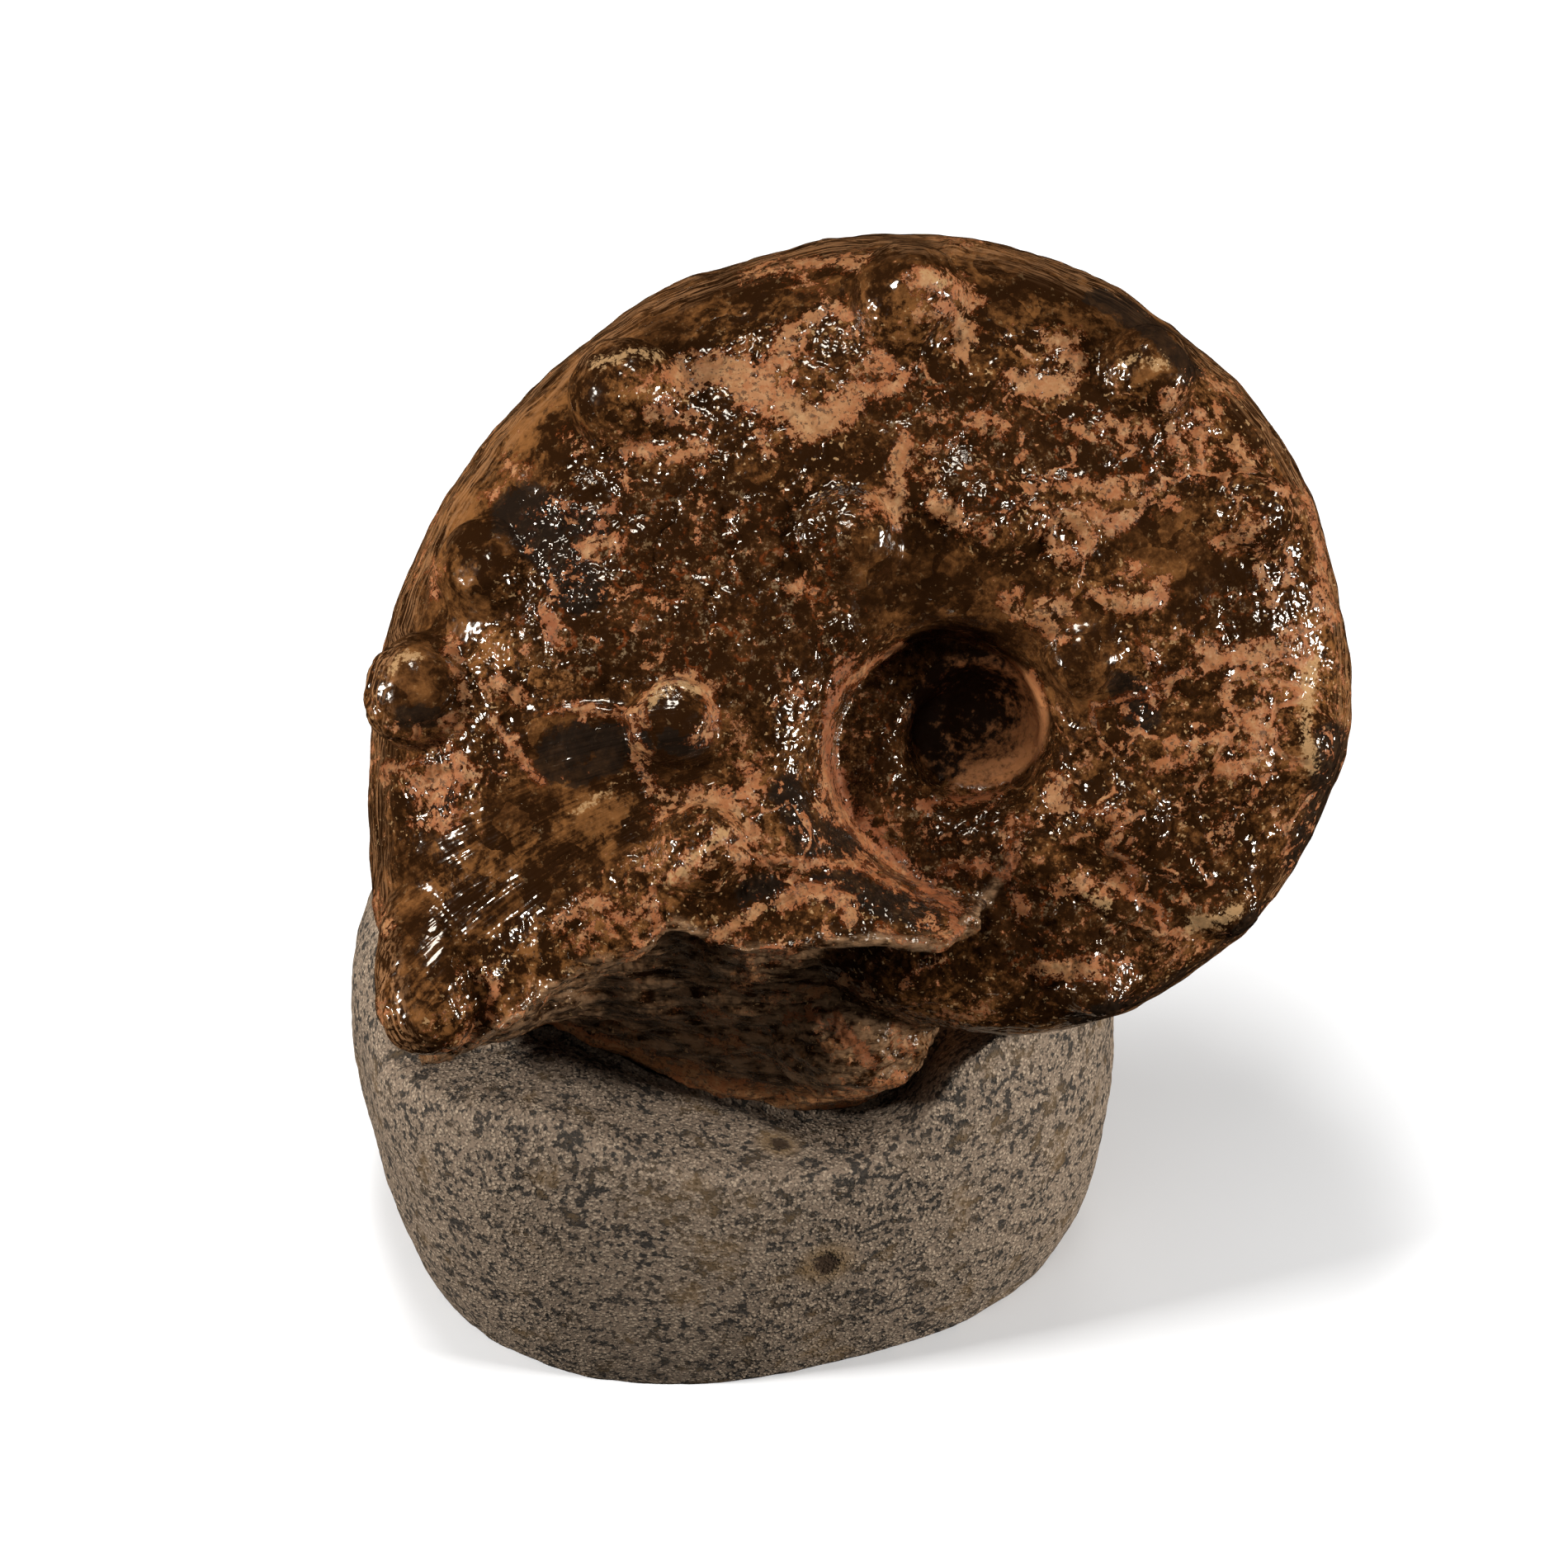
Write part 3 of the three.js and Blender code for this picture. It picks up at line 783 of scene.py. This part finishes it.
class Term:
    """What a shader node gives out, which takes part in arithmetic as a number does."""

    def __init__(self, tree, kind, settings=None, inputs=None, output=0):
        self.tree = tree
        made = tree.nodes.new("ShaderNode" + kind)
        for name, value in (settings or {}).items():
            setattr(made, name, value)
        for name, value in (inputs or {}).items():
            if isinstance(value, Term):
                tree.links.new(value.socket, made.inputs[name])
            else:
                made.inputs[name].default_value = value
        self.socket = made.outputs[output]

    def math(self, operation, *others):
        """A Math node's result for this term and others, in that order."""
        inputs = dict(enumerate((self, *others)))
        return Term(self.tree, "Math", {"operation": operation}, inputs)

    def __add__(self, other):
        return self.math("ADD", other)

    def __sub__(self, other):
        return self.math("SUBTRACT", other)

    def __rsub__(self, other):
        return Term(self.tree, "Math", {"operation": "SUBTRACT"}, {0: other, 1: self})

    def __mul__(self, other):
        return self.math("MULTIPLY", other)

    def __truediv__(self, other):
        return self.math("DIVIDE", other)

    __radd__ = __add__
    __rmul__ = __mul__


def attribute(tree, name):
    return Term(tree, "Attribute", {"attribute_name": name}, {}, "Fac")


def noise(tree, place, size, detail=2, roughness=0.55, swirl=0):
    """A random share, mostly from 0.3 to 0.7, with features of a size in metres."""
    inputs = {"Vector": place, "Scale": 1 / size, "Detail": detail}
    inputs |= {"Roughness": roughness, "Distortion": swirl}
    return Term(tree, "TexNoise", {}, inputs, "Fac")


def from_cell_middle(tree, place, size):
    """How far a place is from the middle of its cell, in cells of a size in metres."""
    return Term(tree, "TexVoronoi", {}, {"Vector": place, "Scale": 1 / size}, "Distance")


def cell_tone(tree, place, size):
    """A random share for each cell of a size in metres."""
    tone = Term(tree, "TexVoronoi", {}, {"Vector": place, "Scale": 1 / size}, "Color")
    return Term(tree, "SeparateColor", {}, {"Color": tone}, "Red")


def place_of(tree, *terms):
    """The three terms as one place."""
    return Term(tree, "CombineXYZ", {}, dict(enumerate(terms)))


def climb(value, low, high):
    """A soft climb from 0 at low to 1 at high."""
    inputs = {"Value": value, "From Min": low, "From Max": high}
    return Term(value.tree, "MapRange", {"interpolation_type": "SMOOTHSTEP"}, inputs)


def blend(share, under, over):
    """A colour that goes from under to over."""
    colours = [shade if isinstance(shade, Term) else (*shade, 1) for shade in (under, over)]
    inputs = {0: share, 6: colours[0], 7: colours[1]}
    return Term(share.tree, "Mix", {"data_type": "RGBA"}, inputs, 2)


def along_axis(place, axis):
    """How far a place is along one of the coil's axes, from the coil's middle."""
    dot = Term(place.tree, "VectorMath", {"operation": "DOT_PRODUCT"}, {0: place, 1: axis}, "Value")
    return dot - float(COIL_MIDDLE @ axis)


# The shell's calcite is brown and translucent, and varnished, and what clings to it is sandy.
DEEP_CALCITE, BROWN_CALCITE = (0.0165, 0.006, 0.0018), (0.064, 0.0242, 0.007)
AMBER_CALCITE, CREAM_CALCITE = (0.16, 0.064, 0.0185), (0.37, 0.22, 0.1)
BLACK_CALCITE, CRYSTAL = (0.0105, 0.0068, 0.0045), (0.17, 0.112, 0.06)
# The break's tone is partly its own paler brown and partly painted light.
# The pit's wall colour is made brighter as painted light.
STRANDS, BREAK_TONE_AND_PAINTED_LIGHT, PIT_WALL_PAINTED_LIGHT = (0.27, 0.13, 0.056), (0.22, 0.125, 0.065), (0.62, 0.25, 0.09)
TAN_MATRIX, SALMON_MATRIX = (0.245, 0.102, 0.034), (0.24, 0.076, 0.021)
RUST_MATRIX = (0.16, 0.034, 0.0072)
STRAND_WIDTH, LAYER_THICKNESS = 0.0009, 0.003
FLAKE_SIZE, FLAKE_BEND, SHARD_SIZE, CRINKLE_SIZE = 0.007, 0.005, 0.0026, 0.0026
VARNISH_ROUGHNESS, MATT_STEP = 0.12, 0.6
BUMP_DEPTH = 0.0005

calcite = bpy.data.materials.new("varnished_calcite")
calcite.use_nodes = True
tree = calcite.node_tree
place = Term(tree, "TexCoord", {}, {}, "Object")
across, up, depth = (along_axis(place, axis) for axis in COIL_AXES)
radius = (across * across + up * up).math("SQRT")
turn, girth = attribute(tree, "turn"), attribute(tree, "girth")
# Growth lines cross the whorl, strands run along the venter, and the break is layered.
growth_lines = place_of(tree, (turn - radius * 2.5) * 0.12, radius * 0.06, depth * 0.06)
fibres = noise(tree, growth_lines, STRAND_WIDTH, 4, 0.65)
hoops = noise(tree, place_of(tree, depth, girth * 0.11, turn * 0.008), STRAND_WIDTH, 4, 0.65)
layers = noise(tree, place_of(tree, across * 0.3, up, depth), LAYER_THICKNESS, 4, 0.65)

# Unevenness of several sizes, and the zones of the skin.
wide = noise(tree, place, 0.03, 3, 0.6)
patchy = noise(tree, place, 0.009, 4, 0.66, 0.8)
torn = noise(tree, place, 0.0022, 4, 0.7)
fine = noise(tree, place, 0.0007, 2, 0.6)
mottle = noise(tree, place, 0.0045, 4, 0.7)
smooth = climb(attribute(tree, "smooth"), -1.5, 1.5)
broken = attribute(tree, "break")
venter = climb(girth, 0.93, 0.985)
saddle = smooth * climb(turn, 2.9, 3.2)
streaks = (fibres - 0.5) * 0.22 * saddle + (layers - 0.5) * 0.8 * broken

# It has cracked into flakes of a few millimetres, each with its own tone and height.
bend = Term(tree, "TexNoise", {}, {"Vector": place, "Scale": 1 / 0.006, "Detail": 3}, "Color")
bent = {0: bend, 1: (FLAKE_BEND,) * 3, 2: place}
bent_place = Term(tree, "VectorMath", {"operation": "MULTIPLY_ADD"}, bent)
flake_middle = from_cell_middle(tree, bent_place, FLAKE_SIZE)
flake = cell_tone(tree, bent_place, FLAKE_SIZE)
tears = (torn - 0.5) * (1 - smooth * 0.6)
brown = wide * 0.35 + patchy * 0.35 + mottle * 0.3 + streaks + tears * 0.65 + (flake - 0.5) * 0.12
colour = blend(climb(brown, 0.435, 0.6), DEEP_CALCITE, BROWN_CALCITE)
amber = climb(attribute(tree, "amber"), -3, 3)
glow = amber * 0.085 + (wide + patchy + mottle) / 3 + tears * 0.5 + streaks + (flake - 0.5) * 0.1
colour = blend(climb(glow, 0.52, 0.69), colour, AMBER_CALCITE)
# Fine bright cream points in the brown are painted glints.
painted_glints = noise(tree, place, 0.0016, 2, 0.6) + (mottle - 0.5) * 0.3
colour = blend(climb(painted_glints, 0.64, 0.69) * (1 - smooth * 0.8) * 0.7, colour, CREAM_CALCITE)
strands = climb(hoops, 0.46, 0.6) * venter
colour = blend(strands * 0.8, colour, STRANDS)
dusty = climb(fine * 0.4 + torn * 0.6 + (wide - 0.5) * 0.7, 0.56, 0.68)
colour = blend(dusty * 0.4 * (1 - smooth * 0.5), colour, TAN_MATRIX)

# Where the skin is gone, the calcite under it is dark and granular, or black.
grainy = climb(attribute(tree, "grain") + (patchy - 0.5) * 8, -1, 1.5)
crystals = climb(torn * 0.6 + fine * 0.4 + (mottle - 0.5) * 0.5, 0.56, 0.68) * grainy
chip_middle = flake_middle + (torn - 0.5) * 0.3
chip_rims = climb(chip_middle, 0.34, 0.42) * (1 - climb(chip_middle, 0.44, 0.54))
chip_rims = chip_rims * climb(mottle, 0.5, 0.6)
colour = blend(grainy * 0.65, colour, DEEP_CALCITE)
colour = blend(crystals * 0.85, colour, CRYSTAL)
colour = blend(chip_rims * grainy * 0.5, colour, RUST_MATRIX)
blackened = attribute(tree, "black") + (patchy - 0.5) * 4 + (torn - 0.5) * 3
blackened = blackened + broken * climb(layers, 0.42, 0.6) * 4 - broken
black = climb(blackened, -0.3, 0.4)
colour = blend(black * 0.85, colour, BLACK_CALCITE)

# Matrix is stuck in brushed marks, seams and scattered flecks, with torn, sharp borders.
border = attribute(tree, "border") / 0.001
veined = climb(attribute(tree, "veined"), -3, 1)
veins = (0.75 - border) * 1.4 - (1 - veined) * 2 + (wide - 0.5) * 8 - smooth * 2
flecks = (patchy - 0.68 + (torn - 0.5) * 0.7 + (wide - 0.5) * 0.5) * 12 - smooth * 2
stuck = attribute(tree, "matrix")
for other in (attribute(tree, "rust"), veins, flecks, attribute(tree, "rim") * 3 - 2):
    stuck = stuck.math("MAXIMUM", other)
shards = cell_tone(tree, place, SHARD_SIZE)
stuck = stuck + (patchy - 0.5) * 3 + (torn - 0.5) * 3.6 + (fine - 0.5) * 2 + (shards - 0.5) * 1.1
stuck = stuck - climb(mottle, 0.53, 0.63) * 1.7
line = attribute(tree, "line") + (torn - 0.5) * 1.5 + (fine - 0.5) * 0.8 + (shards - 0.5) * 0.5
stuck = stuck.math("MAXIMUM", line)
rusty = climb(stuck, -0.45, 0.05)
colour = blend(rusty * 0.75 * climb(patchy, 0.3, 0.55), colour, RUST_MATRIX)
# A thin dark line round each patch of matrix is painted shade, the shadow under the raised edge of the
# crust.
colour = blend(climb(stuck, -0.16, -0.04) * 0.7, colour, DEEP_CALCITE)
# The break's layers take a paler brown, partly their own tone and partly painted light on the shaded
# break face.
colour = blend(broken * climb(layers + mottle * 0.5, 0.62, 0.9) * 0.8, colour, BREAK_TONE_AND_PAINTED_LIGHT)
sand = blend(climb(wide + (torn - 0.5) * 0.6, 0.42, 0.58), TAN_MATRIX, SALMON_MATRIX)
sand = blend(climb(noise(tree, place, 0.003, 4, 0.7), 0.48, 0.66) * 0.5, sand, CREAM_CALCITE)
sand = blend(climb(stuck, 0.7, 2.4) * 0.3, sand, CREAM_CALCITE)
sand = blend(climb(attribute(tree, "rust") + (torn - 0.5) * 2, -0.6, 0.4) * 0.6, sand, RUST_MATRIX)
sand = blend((1 - climb(stuck, 0.1, 0.6)) * 0.45, sand, RUST_MATRIX)
specks = climb(noise(tree, place, 0.0013, 3, 0.7) + (mottle - 0.5) * 0.5, 0.54, 0.61)
sand = blend(specks * 0.85, sand, BROWN_CALCITE)
matrix = climb(stuck, 0, 0.1)
colour = blend(matrix, colour, sand)
worn = attribute(tree, "cream") + (patchy - 0.5) * 2 + (torn - 0.5) * 4 + (fine - 0.5) * 2
cream = climb(worn, 0, 0.6)
colour = blend(cream * 0.75, colour, CREAM_CALCITE)
# The pit's wall is sandy orange brown, pale with painted light on its lower right and near its mouth,
# and dark with painted shade further in and at its upper left.
pit = attribute(tree, "pit")
pit_light_and_shade = depth.math("ABSOLUTE") + (across - up) * 0.5 + (torn + mottle - 1) * 0.045
painted_pit_wall = blend(climb(pit_light_and_shade, 0.007, 0.026), DEEP_CALCITE, PIT_WALL_PAINTED_LIGHT)
colour = blend(pit * 0.95, colour, painted_pit_wall)

sandy = matrix * (1 - cream)
# The relief stays coarser than a millimetre, so the varnish glints in points and doesn't look dull.
crinkle = noise(tree, place, CRINKLE_SIZE, 1, 0.4)
ribs = noise(tree, growth_lines, 0.0013, 1, 0.4)
glitter = climb(attribute(tree, "black"), -1, 1) * 1.1 + 1.8
relief = crinkle * glitter * (1 - smooth * 0.7) + ribs * 0.85 * saddle
relief = relief + flake * 0.6 * (1 - smooth * 0.8) - flake_middle * 0.6 * grainy + layers * 1.6 * broken
relief = relief + matrix * 0.6
bump = Term(tree, "Bump", {}, {"Height": relief, "Strength": 1, "Distance": BUMP_DEPTH}, "Normal")
shell = tree.nodes["Principled BSDF"]
shell.inputs["Specular IOR Level"].default_value = 0.36
shell.inputs["Specular Tint"].default_value = (1, 0.9, 0.77, 1)
roughness = sandy * MATT_STEP + VARNISH_ROUGHNESS + pit * MATT_STEP
for name, term in {"Base Color": colour, "Roughness": roughness, "Normal": bump}.items():
    tree.links.new(term.socket, shell.inputs[name])
ammonite.data.materials.clear()
ammonite.data.materials.append(calcite)
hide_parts("ammonite")
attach(ammonite, "root")

# The cobble is a beach-rounded granite, sawn flat to stand on. A trough and the fossil's own print
# are ground into its top, so the fossil rests in it without glue.
COBBLE_HALF_WIDTH, COBBLE_HALF_DEPTH = 0.110, 0.091
COBBLE_MIDDLE, COBBLE_DOME, COBBLE_BELLY = 0.067, 0.087, 0.122
COBBLE_OFFSET = (-0.0025, 0.004)
COBBLE_SQUARENESS = 2.5
COBBLE_TURN, COBBLE_TIP = math.radians(15), math.radians(-6)
TROUGH_FLOOR = [
    (-0.220, -0.092), (-0.170, -0.100), (-0.148, -0.097), (-0.115, -0.091), (-0.091, -0.102),
    (-0.067, -0.110), (-0.045, -0.115), (-0.025, -0.113), (-0.012, -0.103), (-0.003, -0.090),
    (0.008, -0.086), (0.040, -0.080), (0.090, -0.066), (0.140, -0.048),
]
TROUGH_HALF_WIDTH, TROUGH_BACK, TROUGH_FRONT, TROUGH_TOP = 0.2, -0.046, 0.2, 0.2
# From under the back lip the floor falls away to the front, steeper below the broken mouth.
TROUGH_FALL_BELOW_MOUTH, TROUGH_FALL_BELOW_COIL, BACK_LIP_DEPTH = 0.5, 0.15, -0.038
PRINT_VOXEL, SEAT_GAP = 0.003, 0.0012

boulder = bmesh.new()
bmesh.ops.create_uvsphere(boulder, u_segments=150, v_segments=100, radius=1)
ball = np.array([vert.co for vert in boulder.verts])
ball /= (np.abs(ball) ** COBBLE_SQUARENESS).sum(1, keepdims=True) ** (1 / COBBLE_SQUARENESS)
tall = np.where(ball[:, 2] > 0, COBBLE_DOME, COBBLE_BELLY)
wide, deep = np.full(len(ball), COBBLE_HALF_WIDTH), np.full(len(ball), COBBLE_HALF_DEPTH)
ball *= np.stack([wide, deep, tall], 1)
outward = ball / np.linalg.norm(ball, axis=1, keepdims=True)
lumps = 0.0020 * unevenness(ball, 0.06) + 0.0007 * unevenness(ball, 0.015, 2)
move_to(boulder.verts, ball + outward * lumps[:, None])
placed = (
    Matrix.Translation((*COBBLE_OFFSET, COBBLE_MIDDLE))
    @ Matrix.Rotation(COBBLE_TURN, 4, "Z")
    @ Matrix.Rotation(COBBLE_TIP, 4, "Y")
)
bmesh.ops.transform(boulder, matrix=placed, verts=boulder.verts)
close_up(boulder)
cobble = make_piece("cobble", boulder)


def trough_sheet(x, y):
    """Points of the trough's floor, in the coil's frame, for shares from -1 to 1."""
    across = TROUGH_HALF_WIDTH * x
    depth = TROUGH_BACK + (TROUGH_FRONT - TROUGH_BACK) * (y + 1) / 2
    below_coil = eased(across, -0.020, 0.020)
    fall = TROUGH_FALL_BELOW_MOUTH + (TROUGH_FALL_BELOW_COIL - TROUGH_FALL_BELOW_MOUTH) * below_coil
    floor_height = np.interp(across, *np.transpose(TROUGH_FLOOR))
    floor_height = floor_height - fall * np.maximum(depth - BACK_LIP_DEPTH, 0)
    return np.stack([across, floor_height, depth], 1)


# The trough's edge is worn round. The saw cut and the print are made after that, and stay sharp.
cut_away(cobble, make_cutter("trough_cutter", (120, 40), trough_sheet, TROUGH_TOP))
fuse(cobble, ROUGH_VOXEL, 16)
points = points_of(cobble.data)
points += (0.0003 * unevenness(points, 0.004, 2))[:, None] * normals_of(cobble.data)
cobble.data.vertices.foreach_set("co", points.ravel())
sawn = bmesh.new()
sawn.from_mesh(cobble.data)
everything = sawn.verts[:] + sawn.edges[:] + sawn.faces[:]
saw = {"plane_co": (0, 0, 0), "plane_no": (0, 0, 1), "clear_inner": True}
cut = bmesh.ops.bisect_plane(sawn, geom=everything, **saw)["geom_cut"]
rim = [edge for edge in cut if isinstance(edge, bmesh.types.BMEdge)]
bmesh.ops.edgeloop_fill(sawn, edges=rim)
close_up(sawn)
sawn.to_mesh(cobble.data)
sawn.free()
print_shape = bmesh.new()
print_shape.from_mesh(ammonite.data)
fossil_print = make_piece("fossil_print", print_shape)
fuse(fossil_print, PRINT_VOXEL, 2)
swollen = fossil_print.modifiers.new("gap", "DISPLACE")
swollen.strength = SEAT_GAP
swollen.mid_level = 0
work_out(fossil_print)
cut_away(cobble, fossil_print)
cobble.data.polygons.foreach_set("use_smooth", [True] * len(cobble.data.polygons))

# Fine pale and dark grains, ochre stains, and two brown notches where soft grains fell out. The
# notches are given by their places in the photograph's pixels, and radii in metres.
NOTCHES = [((943, 1386), 0.0038), ((1001, 1531), 0.0052)]
GRANITE, DARK_GRAIN = (0.215, 0.153, 0.104), (0.015, 0.0135, 0.0115)
PALE_GRAIN, OCHRE_STAIN = (0.45, 0.34, 0.235), (0.2, 0.12, 0.052)
NOTCH_BROWN = (0.035, 0.018, 0.008)
GRAIN_SIZE, PALE_GRAIN_SIZE = 0.0023, 0.0013
granite = bpy.data.materials.new("granite")
granite.use_nodes = True
tree = granite.node_tree
place = Term(tree, "TexCoord", {}, {}, "Object")
grains = noise(tree, place, GRAIN_SIZE, 3, 0.6)
clusters = noise(tree, place, 0.007, 3)
pale_middle = from_cell_middle(tree, place, PALE_GRAIN_SIZE)
pale = 1 - climb(pale_middle + (noise(tree, place, 0.001, 2) - 0.5) * 0.5, 0.2, 0.55)
colour = blend(pale * 0.75, GRANITE, PALE_GRAIN)
powder = climb(noise(tree, place, 0.0008, 2, 0.6), 0.48, 0.62)
colour = blend(powder * 0.6, colour, DARK_GRAIN)
dark = climb(grains + (clusters - 0.5) * 0.45, 0.5, 0.6)
colour = blend(dark * 0.9, colour, DARK_GRAIN)
stain = climb(noise(tree, place, 0.014, 4) + (grains - 0.5) * 0.4, 0.56, 0.72)
colour = blend(stain * 0.5, colour, OCHRE_STAIN)
relief = pale * 0.5 - dark * 0.3 + grains * 0.4
picture_middle = (PICTURE_SIDE / 2, PICTURE_SIDE / 2, PICTURE_SIDE * LENS / FILM)
for (x, y), notch_radius in NOTCHES:
    ray = np.array([x, PICTURE_SIDE - y, 0]) - picture_middle
    toward = ray @ np.array([(1, 0, 0), picture_up, to_camera])
    notch = np.array(cobble.ray_cast(Vector(eye), Vector(toward))[1])
    from_notch = Term(tree, "VectorMath", {"operation": "DISTANCE"}, {0: place, 1: notch}, "Value")
    hollow = 1 - climb(from_notch / notch_radius + (grains - 0.5) * 1.5, 0.5, 1)
    colour = blend((1 - climb(from_notch / notch_radius, 0.8, 2.2)) * 0.7, colour, OCHRE_STAIN)
    colour = blend(hollow * 0.95, colour, NOTCH_BROWN)
    relief = relief - hollow * 3
bump = Term(tree, "Bump", {}, {"Height": relief, "Strength": 1, "Distance": BUMP_DEPTH}, "Normal")
stone = tree.nodes["Principled BSDF"]
stone.inputs["Roughness"].default_value = 0.85
stone.inputs["Specular IOR Level"].default_value = 0.25
for name, term in {"Base Color": colour, "Normal": bump}.items():
    tree.links.new(term.socket, stone.inputs[name])
cobble.data.materials.clear()
cobble.data.materials.append(granite)
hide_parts("base_stone")
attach(cobble, "root")

# The studio is a white table in a dim room. A soft lamp hangs overhead and a small one stands at each
# side, and these three put the glints on the varnish. A wide lamp in front and one at the back only
# fill the shadows, and give no glints.
world = bpy.data.worlds.new("studio")
world.use_nodes = True
background = world.node_tree.nodes["Background"]
background.inputs["Color"].default_value = (1, 1, 1, 1)
background.inputs["Strength"].default_value = 0.12
world.cycles_visibility.glossy = False
scene.world = world
LAMPS_AIM = Vector((0.03, 0, 0.2))


def soft_lamp(name, place, size, power, glints=True):
    """A square soft lamp at a place, aimed at the fossil."""
    light = bpy.data.lights.new(name, "AREA")
    light.size = size
    light.energy = power
    lamp = bpy.data.objects.new(name, light)
    lamp.location = place
    lamp.rotation_euler = (LAMPS_AIM - Vector(place)).to_track_quat("-Z", "Y").to_euler()
    lamp.visible_glossy = glints
    bpy.context.collection.objects.link(lamp)


soft_lamp("top_lamp", (-0.12, 0.1, 1.6), 0.32, 14)
soft_lamp("left_lamp", (-1.2, -0.4, 0.67), 0.2, 23)
soft_lamp("right_lamp", (1.2, -0.4, 0.4), 0.2, 21)
soft_lamp("fill_lamp", (-0.2, -0.8, 1.5), 0.7, 3, glints=False)
soft_lamp("back_lamp", (0.2, 1.3, 0.6), 0.6, 3.5, glints=False)

floor_shape = bmesh.new()
bmesh.ops.create_grid(floor_shape, x_segments=1, y_segments=1, size=12)
floor_mesh = bpy.data.meshes.new("floor")
floor_shape.to_mesh(floor_mesh)
floor = bpy.data.objects.new("floor", floor_mesh)
bpy.context.collection.objects.link(floor)
white_table = bpy.data.materials.new("white_table")
white_table.use_nodes = True
tabletop = white_table.node_tree.nodes["Principled BSDF"]
tabletop.inputs["Base Color"].default_value = (0.93, 0.93, 0.93, 1)
tabletop.inputs["Roughness"].default_value = 0.9
tabletop.inputs["Specular IOR Level"].default_value = 0
floor_mesh.materials.append(white_table)
floor.visible_glossy = False
floor.visible_diffuse = False
